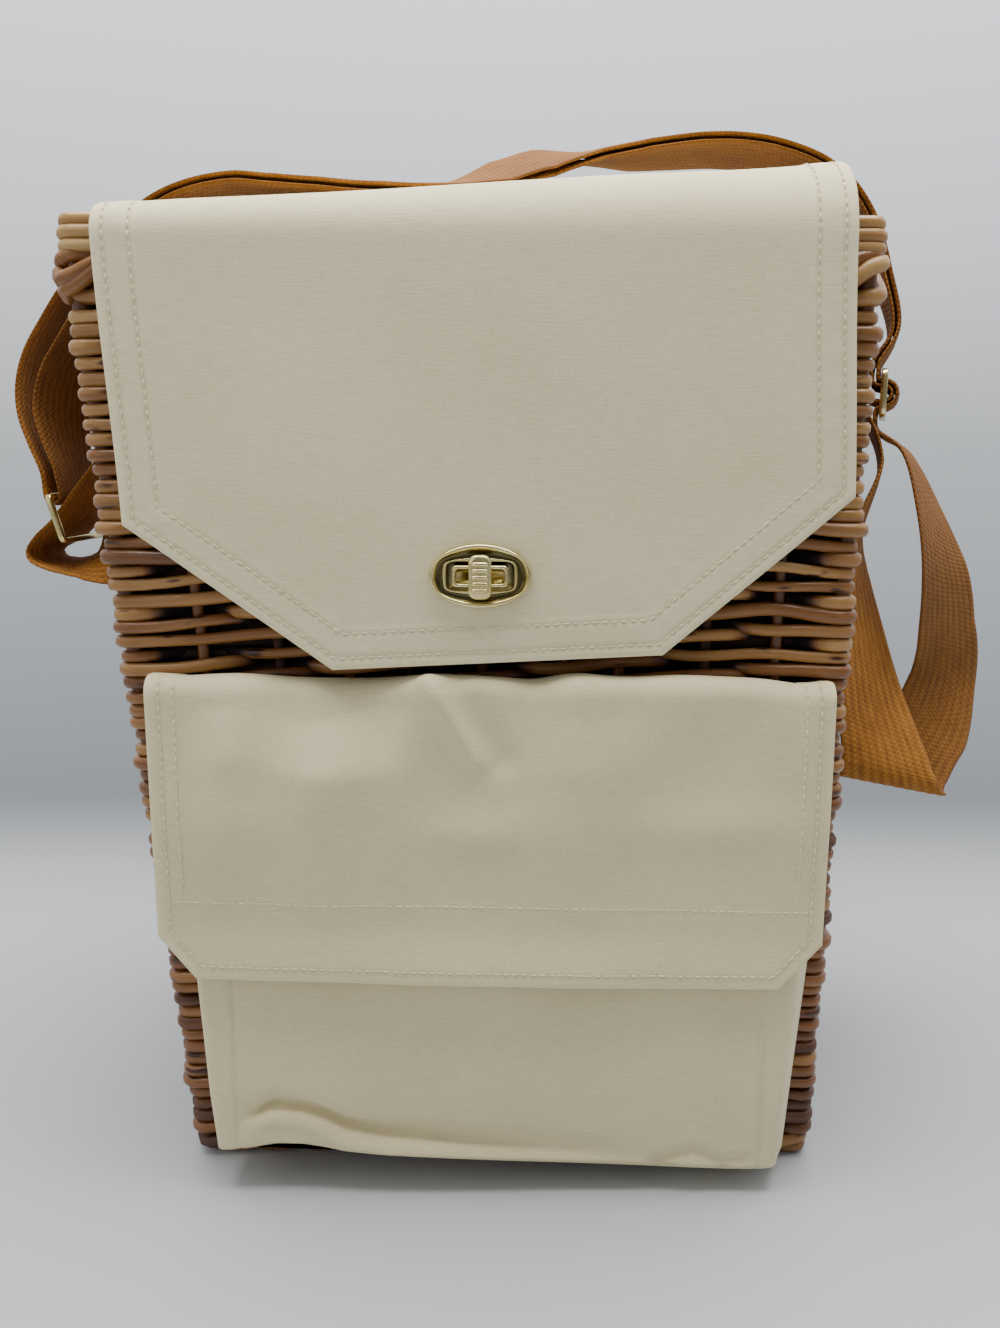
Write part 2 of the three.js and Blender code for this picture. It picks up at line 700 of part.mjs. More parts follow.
place('basket_wall', makeBasketWall(), wicker());
place('base_panel', makeBasePanel(), wicker());
place('foot_border', makeBorder(0, FOOT_HEIGHT, FOOT_INSET, true), wicker());
place('rim_border', makeBorder(HEIGHT - RIM_HEIGHT, RIM_HEIGHT, 0, false), wicker());
place('lid_flap', makeLidFlap(), canvas());
place('pocket_bag', makePocketBag(), canvas());
place('pocket_flap', makePocketFlap(), canvas());
place('lock_plate', makeLockPlate(), brass(), LOCK_X, 0, LOCK_Z);
place('lock_base', makeLockBase(), brass(), LOCK_X, 0, LOCK_Z);
place('turn_button', makeTurnButton(), brass(), LOCK_X, 0, LOCK_Z);
place('shoulder_strap', makeShoulderStrap(), tape());
place('ring_tab', webbing(TAB_ROUTE.map(station)), tape());
const ring = makeFrame(RING.half, RING.slot, RING.slotHigh, 1);
place('strap_ring', ring, brass(), RING.x, RING.y, RING.z).rotation.y = -THREE.MathUtils.degToRad(RING.lean);
const slider = makeFrame(SLIDER.half, SLIDER.slot, SLIDER.slotHigh, 2);
place('strap_slider', slider, brass(), SLIDER.x, SLIDER.y, SLIDER.z).rotation.z =
  -THREE.MathUtils.degToRad(SLIDER.turn);

export default basket;
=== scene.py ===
import math

import bpy
import numpy as np
from mathutils import Euler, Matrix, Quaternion


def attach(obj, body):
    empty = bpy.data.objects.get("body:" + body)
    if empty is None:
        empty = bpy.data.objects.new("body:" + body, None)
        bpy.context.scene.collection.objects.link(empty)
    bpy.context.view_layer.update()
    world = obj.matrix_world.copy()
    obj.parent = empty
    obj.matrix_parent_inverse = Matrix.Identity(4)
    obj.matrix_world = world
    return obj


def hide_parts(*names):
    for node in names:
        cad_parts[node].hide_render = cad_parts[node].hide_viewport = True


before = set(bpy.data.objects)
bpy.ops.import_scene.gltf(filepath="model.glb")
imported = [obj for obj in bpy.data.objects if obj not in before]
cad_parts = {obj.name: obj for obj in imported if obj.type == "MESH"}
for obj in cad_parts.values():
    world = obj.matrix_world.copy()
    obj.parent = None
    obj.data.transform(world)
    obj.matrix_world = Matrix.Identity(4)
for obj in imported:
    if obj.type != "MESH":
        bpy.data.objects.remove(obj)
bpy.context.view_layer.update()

# Sizes and places are in millimetres. Meshes turn them into metres.
MM = 0.001
random = np.random.default_rng(7)
UP = np.array([0, 0, 1.0])

# Camera, floor and light
CAMERA_PLACE = (-1.94, -454.2, 271.1)
CAMERA_PITCH = -10.48
CAMERA_YAW = 0.02
CAMERA_ROLL = 0.175
PHOTO_SIZE = (1000, 1328)
FOCAL_PIXELS = 1040
SENSOR = 36
FLOOR_HALF = 4000.0
FLOOR_FADE = (110, 420)  # where the floor starts and ends fading into the backdrop
BACKDROP = ((0.36, "84888C"), (0.51, "A9ADB1"), (0.7, "F8FAFF"))  # from below to above
LIGHT_TINT = (1, 0.99, 0.96)

# Wicker body
HEIGHT = 355
FOOT_SIZE = (250, 160)
MOUTH_SIZE = (280, 190)
LEAN = -12.5
CORNER_RADIUS = 7
SHARPEST_CORNER = 1
WALL = 9
FOOT_HEIGHT = 12
FOOT_INSET = 2.5
RIM_HEIGHT = 14
RIM_ROD = 2.4
RIM_ROPE = (335, 9.5)  # middle and half height of the slanted rods under the top ones
RIM_RODS = (  # distance outward, and down from the top in radii
    (0.6, 1), (1.4, 2.8), (1.2, 4.6), (-3.6, 1.2), (-3.6, 3), (-3.6, 4.8),
)
BORDER_HALF = 6
ROPE_ROD = 2.75

# Weave: rods pass in front of two stakes and behind the third, and in front of every corner
PANELS = ((10, -90), (8, 0), (10, 90), (8, 180))  # gaps between stakes, direction that it faces
STAKE_COUNT = sum(gaps for gaps, _ in PANELS)
BEHIND_EVERY = 3
ROD_PITCH = 5.05
ROD_RADIUS = 2.2
ROD_SIDES = 10
ROD_FLATNESS = 0.82  # below 1 the rods have flatter faces
STAKE_RADIUS = 2.1
CORNER_STAKE = (1.4, 3.2)  # how much further in the corner stakes stand, and their radius
STAKE_PIECE = 12  # length of a stake between two of its rings
STAKE_UP = np.array([0.3, 1.0, 0])  # direction in which the sections of stakes stand
ROD_STEPS = (0, 0.17, 0.33, 0.5, 0.67, 0.83)  # shares of a gap at which a rod is drawn
CORNER_STEPS = (0, 0.03, 0.06, 0.1, 0.15, 0.22, 0.34, 0.5, 0.67, 0.83)
BORDER_STEPS = 8
WEAVE_INSET = 4.9
WEAVE_OUT = 2.7  # how far a rod swings out of the middle of the wall
WEAVE_IN = 6
WEAVE_HOLD = 0.08  # share of a gap that a rod stays in front of or behind a stake
CORNER_SWING = 0.45
CORNER_JUT = (0.2, 0.55, 14)  # how far rods stand out at a corner, its spread and reach
CORNER_SAG = (2.6, 26)  # how far rods sag at a corner, and its reach
CORNER_SWELL = (0.12, 12)  # how much thicker rods are at a corner, and its reach
STROKE_SLANT = 1.3  # rods close in on the gap beside a rod that passes behind
INNER_REACH = 4.4  # the runs inside the stakes
INNER_RADIUS = 2.5
INNER_SIDES = 6
INNER_STEPS = 3
SLITS = ((0, 306, 25), (180, 290.5, 25), (180, 240.5, 25))  # side, height and half width
SLIT_STAKES = {0: 14, 180: 32}  # the stake in the middle of each side
SLIT_OPENING = 3.4
SLIT_FADE = 8

# Base: rods along the width that pass over and under cross sticks
BASE_THICKNESS = 8
BASE_GAP = 1.5
BASE_STICKS = 9
BASE_STICK_INSET = 12
BASE_STICK_RADIUS = 2.0
BASE_ROD_RADIUS = 1.9
BASE_ROD_PITCH = 4.5
BASE_POINTS = (12, 60)  # along a stick and along a rod

# How rods differ: spreads of places and sizes, and shades from dark to pale, including painted shade and
# painted light
STAKE_SPREAD = 0.13
SWING_SPREAD = 0.13
HEIGHT_SPREAD = 0.35
ROD_SPREAD = (0.88, 1.1)
ROPE_SPREAD = (0.92, 1.05)
ROD_TONES = (0.34, 0.58)
# inner runs get near-black tones: painted shade of the closed basket's inside
INNER_TONES_PAINTED_SHADE = (-0.05, 0.1)
# stakes get dark tones: painted shade where they stand in the gaps behind the rods
STAKE_TONES_PAINTED_SHADE = (0.05, 0.4)
ROPE_TONES = (-0.12, 0.12)
RIM_TONES = (0.55, 0.75)
STICK_TONE = 0.5
BASE_TONES = (0.2, 0.6)
BEHIND_PAINTED_SHADE = 0.9  # painted shade: how much darker a rod is where it passes behind a stake, and on its inward side so the inside of the basket reads dark
# painted shade on the inward side of the rods
INSIDE_PAINTED_SHADE = 0.6
PAINTED_LIGHT_UPWARD = 0.34  # painted light: how much paler the rods are at the top, where more light falls, than at the foot

# How far apart rods and stitches lie in the pattern of their streaks
ROW_APART = 1000
STAKE_APART = 700
BORDER_APART = 3000
BASE_APART = 900
STITCH_APART = 5

# Cloth and thread
CANVAS = 1.7
CLOTH_SINK = 0.2
EDGE_ROLL = (0.5, 1.5)  # how far the cloth's edge rolls back, and how wide
SURFACE_STEP = 0.4
HEM_STEP = 0.35
HEM_ZONE = 17
HEM_GRID = 0.7
EDGE_LIGHT_SEAM_SHADE = 0.1  # painted light and shade: the cloth is this much darker away from its edge, which leaves a painted highlight along the edge, and this much darker again along its seams as painted shade
STITCH_PITCH = 3.3
STITCH_LENGTH = 2.5
STITCH_RADIUS = 0.27
STITCH_SIDES = 6
STITCH_LIFT = 0.1
STITCH_RINGS = (  # share along the stitch, width and rise
    (-0.5, 0.35, -0.12), (-0.28, 1, 0.16), (0.28, 1, 0.16), (0.5, 0.35, -0.12),
)

# Lid flap
LID_MIDDLE = -6
LID_SKEW = -5
LID_SKEW_FROM = 240
LID_HALF = 123.5
LID_FACE = 101.5
LID_REST = 357.5
LID_RISE = 17
LID_CROWN = 13.2
LID_BACK_DROP = 40
LID_BACK_BEND = 9
LID_BACK = 98.8
LID_FRONT_BEND = (12, 28)
LID_HEM = ((-123.5, 253), (-54, 203.5), (60, 209), (123.5, 263))
LID_HEM_EDGE = (13, 15)
LID_STITCHES = (4, 12.5)
LID_STITCHES_END = 6
LID_GRID = 2.4

# Turn lock. Steps have an inset and a distance to the front.
LOCK_X = -8.9
LOCK_Z = 236.3
LOCK_OVAL = (17.5, 11)
LOCK_SLOT = (11.5, 5)
LOCK_POINTS = 96
SLOT_POWER = 7  # how square the slot's corners are
SLOT_MARGIN = 1.5
PLATE_PROFILE = (  # share of the way from the slot to the oval's edge, distance to the front
    (1, 101.8), (1, 102.5), (0.985, 103.3), (0.93, 103.95), (0.84, 104.2), (0.74, 104.0), (0.66, 103.3),
    (0.6, 102.9), (0.4, 102.7), (0.24, 102.75), (0.2, 103.3), (0.14, 103.5), (0.07, 103.5), (0.02, 103.3),
    (0, 102.7), (0, 101.8),
)
PLATE_DARK = (0.23, 0.64)  # shares between which the plate's groove is dark
LOCK_BASE_HALF = (16, 9)
LOCK_BASE_STEPS = ((0, 90.8), (0, 91.9), (0.3, 92.2))
POST_HALF = (9.5, 3.7)
POST_STEPS = ((0, 92.2), (0, 104.0), (0.15, 104.4), (0.45, 104.6), (0.9, 104.6), (1.2, 104.2), (1.3, 102.9))
BUTTON_HALF = (3.9, 7.5)
BUTTON_FRONT = 108.4
BUTTON_STEPS = ((0.25, 105.2), (0, 105.5), (0, 107.2), (0.15, 107.8), (0.5, 108.2), (1.0, BUTTON_FRONT))
BUTTON_RIDGES = (-4.4, -2.2, 0, 2.2, 4.4)
RIDGE_HALF = 2.9
RIDGE_RADIUS = 0.85

# Front pocket
POCKET_MIDDLE = -2.5
POCKET_RADIUS = 4
POCKET_HALF = 110  # mean half width, for the thickness of its sides
POCKET_INSIDE = 4  # rows above the bottom at which the inside ends
POCKET_ROWS = (  # height, half width, front, gap to the wall
    (9, 101, 94.5, 1.8), (14, 106.5, 100.4, 1.2), (45, 108.5, 101.2, 0.3), (92, 111.5, 100, 0.3),
    (193, 114, 98.8, 0.3),
)
POCKET_LEVELS = ((9, 14, 4), (14, 60, 41), (60, 193, 49))  # from, to and steps
POCKET_COUNTS = (5, 190, 5, 30)  # points on the left, the front, the right and the back
POCKET_MEASURED = (40, 60)  # row round the pocket and column up its front that measure the cloth
POCKET_CREASE = (
    (-104, 27), (-92, 32), (-85, 36), (-74, 34.5), (-66, 31), (-58, 25.5), (-46, 23), (-10, 20), (40, 17),
    (80, 14),
)
POCKET_CREASE_ENDS = ((-100, -86), (-50, 95))  # where the crease starts and fades out
POCKET_FOLD = ((60, 15), (74, 20), (84, 16), (94, 17))
POCKET_HEM = 10
POCKET_GUSSET = 6  # how much further right the back of the pocket reaches
POCKET_DROP = 2.5
POCKET_LIFT = (  # how much higher the lower edge hangs at places across
    (-106, 7), (-93, 9), (-85, 10.6), (-73, 10.3), (-58, 7.8), (-42, 6.3), (0, 4.2), (38, 2.5), (74, 0.8),
    (100, 0),
)

# Pocket flap
FLAP_MIDDLE = -6.5
FLAP_TOP = 201.4
FLAP_FACE = 104
FLAP_BEND = 6.5
FLAP_TURN = math.radians(100)  # how far the bend goes round
FLAP_TUCK = (0.6, 0.5)  # gap to the wall behind the bend, and the least cloth there
FLAP_HEM = ((-118.5, 106.5), (-105, 90.5), (105.5, 87), (121, 103.5))
FLAP_HEM_EDGE = (9.5, 11)
FLAP_BAND_EDGE = (28, 30)
FLAP_STITCHES = (5,)
FLAP_BAND = ((-112.0, 119.5), (115.0, 116.0))
FLAP_SEAMS = ((-108.5, 124.0), (111.0, 121.0))  # place and lower end of the upright seams
FLAP_GRID = 2
FLAP_DENTS = (  # place, width, how far in and how far down
    (-72, 9, 2.6, 0.6), (-46, 16, 6.5, 2.4), (-17, 9, -1.8, -0.5), (18, 10, 2.8, 2.4), (70, 22, -1, 0),
    (112, 16, 1.2, 3),
)
FLAP_FADE = 26
FLAP_BELLIES = ((-91, 12, 4.6), (-58, 15, 7), (-33, 9, 3), (34, 15, 2.4))  # place, width, height
FLAP_BELLY = ((6, 0), (23, 0.95), (27, 1), (36, 0.93), (84, 0))  # share of their height on the way down
FLAP_PUFFS = ((-4, 145, 18, 9, 2.6), (78, 147, 30, 10, 2.2), (-88, 148, 20, 12, 1.6))  # place, size, height
FLAP_PINCH = ((-20, 200), (-4, 172))
FLAP_RIDGES = ((0, 2.8, 3.6), (9, -2.2, 5.5))  # distance right of the pinch, height and width

# Webbing. A row may leave out its last values: turn and rise are then 0, the second run is 2.8 away and
# has no further turn.
STRAP_HALF = 19
STRAP_THICK = 1.8
STRAP_RIBS = 10
STRAP_STEP = 3
ROUTE_USUAL = (0, 0, 0, 0, 0, 2.8, 0)
SLACK_ROUTE = (  # x, y, z, turn, rise
    (116.1, 0, 280),
    (116.1, 0, 297),
    (118.4, 0, 303.4),
    (122.7, 0, 305.7),
    (129.2, 0, 306.3),
    (141.5, -1, 303.4, 8),
    (153, -3, 291.6, 14),
    (158.5, -6, 275, 18),
    (149, -13, 247, 25),
    (147, -16, 231, 35),
    (151, -20, 200, 50),
    (155, -26, 174, 62, 6),
    (159, -33, 156, 82, -11),
    (161, -34.5, 147, 88, -11),
    (163.5, -31, 141.5, 90, -11),
    (167, -27, 144, 89, -11),
    (175.5, -20, 153, 84, -11),
    (186.5, -12, 166, 78, -11),
    (192.5, -6, 183, 69, -14),
    (190.5, -10, 203, 58, -2),
    (183.5, -18, 231, 48),
    (176.5, -17, 255, 36),
    (168, -10, 279, 24),
)
OUTER_ROUTE = (  # x, y, z, turn, rise, distance of the second run, its further turn
    (163, -2, 328, 18, 0, 2.5),
    (156.8, -2, 351, 14, 0, 2.6),
    (148, -1, 371, 8),
    (137, 0, 384.5, 3),
    (124, 0, 393),
    (107, -2, 398),
    (90, -5, 399.5),
    (72, -8, 398.5),
    (52, -12, 396, 0, 3),
    (34, -15, 394.5, 0, 12),
    (14, -18, 391.5, 0, 26),
    (-3, -21, 386, 0, 27),
    (-20, -23, 381, 0, 16),
    (-46, -25, 377.5, 0, 4),
    (-69, -24, 378),
    (-89, -21, 380),
    (-103, -18, 381.5),
    (-120, -14, 380),
    (-136, -9, 375.5, 0, 0, 3.2),
    (-150, -5, 368, 0, 0, 4.5),
    (-163, -2, 358.5, 0, 0, 7, 2),
    (-176, -1, 345.5, 0, 0, 10.5, 7),
    (-187, 0, 331, 0, 0, 12.5, 12),
    (-195, 0, 318, 0, 0, 13, 15),
    (-199, 0, 305, 0, 0, 12.5, 16),
    (-199, 0, 293, 0, 0, 11, 15),
    (-195.5, 0, 281, 0, 0, 8.5, 9),
    (-191.5, 0, 270, 0, 0, 6.3, 2),
)
TAB_ROUTE = (  # x, y, z, turn, rise
    (-134.4, 2, 264),
    (-135.8, 2, 282),
    (-138.8, 2, 288.2),
    (-142.9, 2, 290.3),
    (-150, 2, 290.6),
    (-162, 1.5, 282.3, 0, -5),
    (-171.2, 1, 269.4, 0, -11),
    (-178.5, 0.5, 259.5, 0, -14),
    (-184.5, 0, 251.5, 0, -14),
    (-189.2, -0.5, 246.2, 0, -12),
    (-194.8, -1, 242, 0, -9),
    (-198.8, -1.5, 238.2, 0, -3),
    (-197.8, -2, 234.2),
    (-192, -2.5, 231.6, 0, 2),
    (-186, -2.5, 231, 0, 6),
    (-180, -2.5, 231.8, 0, 14),
    (-174.3, -3, 234.6, 0, 40),
    (-169.6, -3.5, 237.2, 0, 59),
    (-164, -3.5, 239, 0, 56),
    (-157, -3, 240, 0, 34),
    (-150, -1, 240.6, 0, 10),
    (-145, 0.5, 240.6),
    (-138.7, 1, 240.3),
    (-134.5, 1, 238.2),
    (-131.6, 1, 232),
    (-130.2, 1, 216),
)
STRAP_FOLD = (10, 12.6, 15.5, 19)  # stations of the slack where its slanting fold starts and ends
SLIDER_PLACE = (159.5, -2, 303)
SLIDER_TURN = 20
SLIDER_BARS = (22.1, 8.2)
SLIDER_THREAD = (  # outward and upward of the slider's middle
    (-1.8, -14), (-2.75, -10.4), (-2.65, -6.8), (-1.9, -5.5), (0, -5.3), (3.75, -3.75), (5.3, 0),
    (3.75, 3.75), (0, 5.3), (-1.9, 5.5), (-2.65, 6.8), (-2.6, 9.5), (-2.6, 12),
)
SLIDER_WRAP = (
    (-5.1, 12), (-5.1, 6.6), (-4.5, 4.7), (-3.2, 3.5), (-1.6, 3.1), (0, 3.1), (2.2, 2.2), (3.1, 0),
    (2.2, -2.2), (0, -3.1), (-2.4, -3), (-5, -2.3), (-7, -0.2), (-7.6, 3.5), (-7.6, 12), (-7.6, 28),
)
RING_PLACE = (-185.2, 0, 251.5)
RING_LEAN = 15  # its top leans away from the basket
RING_BARS = (22.3, 9.3)
RING_WRAP = 3.1
BAR = 2.6


# Mesh making

def join_grids(grids, round_along, round_across):
    """Points and quads of several grids of points, each closed or open along its two directions."""
    points = []
    quads = []
    start = 0
    for grid in grids:
        rows, count = grid.shape[:2]
        index = np.arange(rows * count).reshape(rows, count) + start
        if round_along:
            index = np.vstack([index, index[:1]])
        if round_across:
            index = np.hstack([index, index[:, :1]])
        corners = (index[:-1, :-1], index[:-1, 1:], index[1:, 1:], index[1:, :-1])
        quads.append(np.stack(corners, axis=-1).reshape(-1, 4))
        points.append(grid.reshape(-1, 3))
        start += rows * count
    return np.concatenate(points), np.concatenate(quads)


def end_caps(grids):
    """Triangles that fill the first and last ring of grids that are round across."""
    triangles = []
    start = 0
    for grid in grids:
        rows, count = grid.shape[:2]
        fan = np.arange(1, count - 1)
        first = np.stack([np.zeros_like(fan), fan + 1, fan], axis=-1) + start
        last = np.stack([np.zeros_like(fan), fan, fan + 1], axis=-1) + start + (rows - 1) * count
        triangles += [first, last]
        start += rows * count
    return np.concatenate(triangles)


def closed_tubes(grids):
    """Points and faces of grids that are round across, with filled ends."""
    points, quads = join_grids(grids, False, True)
    return points, [quads, end_caps(grids)]


def merge(first, second):
    """Points and faces of two meshes as one."""
    points, faces = first
    more_points, more_faces = second
    return np.concatenate([points, more_points]), faces + [part + len(points) for part in more_faces]


def make_mesh(name, material, points, faces, straight=None, tone=None):
    """A smooth mesh object. straight holds each point's place on the flat cloth or the straight rod, and
    tone a shade for each point."""
    mesh = bpy.data.meshes.new(name)
    corners = [face for part in faces for face in part.tolist()]
    mesh.from_pydata((points * MM).tolist(), [], corners, shade_flat=False)
    mesh.validate()
    if straight is not None:
        layer = mesh.attributes.new("straight", "FLOAT_VECTOR", "POINT")
        layer.data.foreach_set("vector", (straight * MM).astype(np.float32).reshape(-1))
    if tone is not None:
        layer = mesh.attributes.new("tone", "FLOAT", "POINT")
        layer.data.foreach_set("value", tone.astype(np.float32).reshape(-1))
    mesh.materials.append(material)
    item = bpy.data.objects.new(name, mesh)
    bpy.context.scene.collection.objects.link(item)
    return item


def make_piece(name, slot, material, points, faces, *nodes, body="basket", straight=None, tone=None):
    """A mesh object that takes the place of nodes of the solids and rides their body."""
    piece = make_mesh(name, material, points, faces, straight, tone)
    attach(piece, body)
    if nodes:
        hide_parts(*nodes)
    return piece


class Strands:
    """Rods or stitches that make up one piece, each closed to a ring or with two ends."""

    def __init__(self, closed):
        self.closed = closed
        self.grids = []
        self.straights = []
        self.tones = []

    def add(self, path, section, lengths, tone, up=UP):
        """A rod along a path. Lengths tell where its points lie on the straight rod."""
        self.add_grid(sweep(path, up, section, self.closed), section, lengths, tone)

    def add_grid(self, grid, section, lengths, tone=None):
        straight = np.zeros(grid.shape)
        straight[..., 0] = lengths[:, None]
        straight[..., 1:] = section
        self.grids.append(grid)
        self.straights.append(straight.reshape(-1, 3))
        if tone is not None:
            self.tones.append(np.broadcast_to(tone, grid.shape[:2]).reshape(-1))

    def make_piece(self, name, slot, material, *nodes):
        if self.closed:
            points, quads = join_grids(self.grids, True, True)
            faces = [quads]
        else:
            points, faces = closed_tubes(self.grids)
        tone = np.concatenate(self.tones) if self.tones else None
        return make_piece(name, slot, material, points, faces, *nodes,
                          straight=np.concatenate(self.straights), tone=tone)


def unit(vectors):
    return vectors / np.maximum(np.linalg.norm(vectors, axis=-1, keepdims=True), 1e-9)


def smooth_step(low, high, value):
    """0 below low, 1 above high and smooth in between."""
    share = np.clip((value - low) / (high - low), 0, 1)
    return share * share * (3 - 2 * share)


def fade(low, high, value):
    """1 below low, 0 above high and smooth in between."""
    return 1 - smooth_step(low, high, value)


def bell(value, middle, width):
    return np.exp(-(((value - middle) / width) ** 2))


def wave(places, length, height):
    """Wave along places that starts anywhere."""
    return height * np.sin(places / length + random.uniform(0, 6))


def ripples(u, v, length, waves, seed):
    """Soft random waves of about that length, between -1 and 1."""
    draw = np.random.default_rng(seed)
    total = np.zeros_like(u, dtype=float)
    for _ in range(waves):
        angle = draw.uniform(0, 2 * math.pi)
        size = length * draw.uniform(0.7, 1.6)
        shift = draw.uniform(0, 2 * math.pi)
        total += np.sin((u * math.cos(angle) + v * math.sin(angle)) * 2 * math.pi / size + shift)
    return total / waves


def on_line(line, x):
    """Heights at places x of a line of straight stretches."""
    return np.interp(x, *np.transpose(line))


def path_lengths(points):
    steps = np.linalg.norm(np.diff(points, axis=0), axis=1)
    return np.concatenate([[0], np.cumsum(steps)])


def circle(radius, sides, flatness=1):
    """Points of a circle, with flatter faces where flatness is below 1."""
    angle = (np.arange(sides) + 0.5) / sides * 2 * math.pi
    ring = np.stack([np.cos(angle), np.sin(angle)], axis=-1)
    return radius * np.sign(ring) * np.abs(ring) ** flatness


def round_outline(half, radius, steps):
    """Points of a rounded rectangle, from its right side up and round."""
    corner = np.linspace(0, math.pi / 2, steps)
    parts = []
    for number, signs in enumerate(((1, 1), (-1, 1), (-1, -1), (1, -1))):
        angle = corner + number * math.pi / 2
        middle = np.array(signs) * (np.array(half) - radius)
        parts.append(middle + radius * np.column_stack([np.cos(angle), np.sin(angle)]))
    return np.concatenate(parts)


def sweep(path, up, section, closed):
    """Grid of points along a path. Each row is the section, given sideways and upwards."""
    if closed:
        along = np.roll(path, -1, axis=0) - np.roll(path, 1, axis=0)
    else:
        along = np.gradient(path, axis=0)
    along = unit(along)
    side = unit(np.cross(along, up))
    over = np.cross(side, along)
    return path[:, None] + section[..., 0, None] * side[:, None] + section[..., 1, None] * over[:, None]


# Materials

def colour(code):
    """Linear colour of a hex code."""
    values = [int(code[i:i + 2], 16) / 255 for i in (0, 2, 4)]
    linear = [v / 12.92 if v <= 0.04045 else ((v + 0.055) / 1.055) ** 2.4 for v in values]
    return (*linear, 1)


class Nodes:
    """A node tree that is built up node by node."""

    def __init__(self, tree):
        self.tree = tree

    def put(self, socket, value):
        if isinstance(value, bpy.types.NodeSocket):
            self.tree.links.new(value, socket)
        else:
            socket.default_value = value

    def add(self, kind, inputs, **settings):
        """Outputs of a new node."""
        node = self.tree.nodes.new(kind)
        for key, value in settings.items():
            setattr(node, key, value)
        for key, value in inputs.items():
            self.put(node.inputs[key], value)
        return node.outputs

    def place(self, kind):
        return self.add("ShaderNodeTexCoord", {})[kind]

    def parts(self, vector):
        return self.add("ShaderNodeSeparateXYZ", {"Vector": vector})

    def math(self, operation, first, second=0.0):
        return self.add("ShaderNodeMath", {0: first, 1: second}, operation=operation)[0]

    def total(self, *terms, start=0.0):
        """Values times their weights, added to a start."""
        for value, weight in terms:
            inputs = {0: value, 1: weight, 2: start}
            start = self.add("ShaderNodeMath", inputs, operation="MULTIPLY_ADD")[0]
        return start

    def spread(self, value, source, target, kind="LINEAR"):
        """Value brought from its range into another one."""
        inputs = {"Value": value, "From Min": source[0], "From Max": source[1],
                  "To Min": target[0], "To Max": target[1]}
        return self.add("ShaderNodeMapRange", inputs, interpolation_type=kind)["Result"]

    def ramp(self, value, stops):
        result = self.add("ShaderNodeValToRGB", {"Fac": value})["Color"]
        elements = result.node.color_ramp.elements
        while len(elements) < len(stops):
            elements.new(0.5)
        for element, (place, code) in zip(elements, stops):
            element.position = place
            element.color = colour(code)
        return result


class Shader(Nodes):
    """A material with its principled shader."""

    def __init__(self, name):
        self.material = bpy.data.materials.new(name)
        self.material.use_nodes = True
        super().__init__(self.material.node_tree)

    def attribute(self, name, kind):
        return self.add("ShaderNodeAttribute", {}, attribute_name=name)[kind]

    def tone(self):
        return self.attribute("tone", "Fac")

    def straight(self):
        """Place on the flat cloth or the straight rod, in metres."""
        return self.attribute("straight", "Vector")

    def noise(self, place, scale, detail):
        vector = self.add("ShaderNodeMapping", {"Vector": place, "Scale": scale})["Vector"]
        return self.add("ShaderNodeTexNoise", {"Vector": vector, "Scale": 1.0, "Detail": detail})["Fac"]

    def sine(self, value, pitch):
        """Wave of a pitch in metres along a value, between -1 and 1."""
        return self.math("SINE", self.math("MULTIPLY", value, 2 * math.pi / pitch))

    def blend(self, share, first, second, mode="MIX"):
        inputs = {0: share, 6: first, 7: second}
        return self.add("ShaderNodeMix", inputs, data_type="RGBA", blend_type=mode)[2]

    def bump(self, height, strength, distance, **below):
        inputs = {"Height": height, "Strength": strength, "Distance": distance * MM, **below}
        return self.add("ShaderNodeBump", inputs)["Normal"]

    def finish(self, inputs):
        for key, value in inputs.items():
            self.put(self.tree.nodes["Principled BSDF"].inputs[key], value)
        return self.material


def make_wicker():
    shader = Shader("wicker")
    place = shader.straight()
    tone = shader.tone()
    streaks = shader.noise(place, (9, 420, 420), 4)
    patches = shader.noise(place, (28, 60, 60), 2)
    eyes = shader.noise(place, (75, 260, 260), 1)
    shade = shader.total((tone, 1.0), (patches, 0.5), (streaks, 0.35), start=-0.42)
    base = shader.ramp(shade, (
        (0.0, "160803"), (0.18, "48260E"), (0.42, "7F5026"), (0.68, "A57943"), (1.0, "CAA86E")))
    spots = shader.ramp(eyes, ((0.66, "FFFFFF"), (0.74, "7A5138")))
    dull = shader.spread(tone, (0.0, 0.3), (0.8, 0.16))
    return shader.finish({
        "Base Color": shader.blend(1.0, base, spots, "MULTIPLY"),
        "Normal": shader.bump(streaks, 0.35, 0.25),
        "Roughness": shader.total((patches, 0.3), start=dull)})


def make_canvas(name, light, dark):
    shader = Shader(name)
    place = shader.straight()
    weft = shader.noise(place, (150, 1700, 60), 2)
    warp = shader.noise(place, (2300, 220, 60), 2)
    mottle = shader.noise(place, (18, 18, 18), 4)
    threads = shader.total((weft, 0.62), (warp, 0.38))
    base = shader.ramp(shader.total((threads, 0.7), (mottle, 0.3)), ((0.34, dark), (0.66, light)))
    # painted highlight at the cloth's edges and painted shade along its seams, carried by the tone
    # attribute
    painted_edge_light_seam_shade = shader.ramp(shader.tone(), ((0.0, "FFFFFF"), (1.0, "4E4632")))
    return shader.finish({
        "Base Color": shader.blend(1.0, base, painted_edge_light_seam_shade, "MULTIPLY"),
        "Normal": shader.bump(threads, 0.45, 0.3),
        "Roughness": 0.92, "Sheen Weight": 0.12, "Sheen Roughness": 0.6})


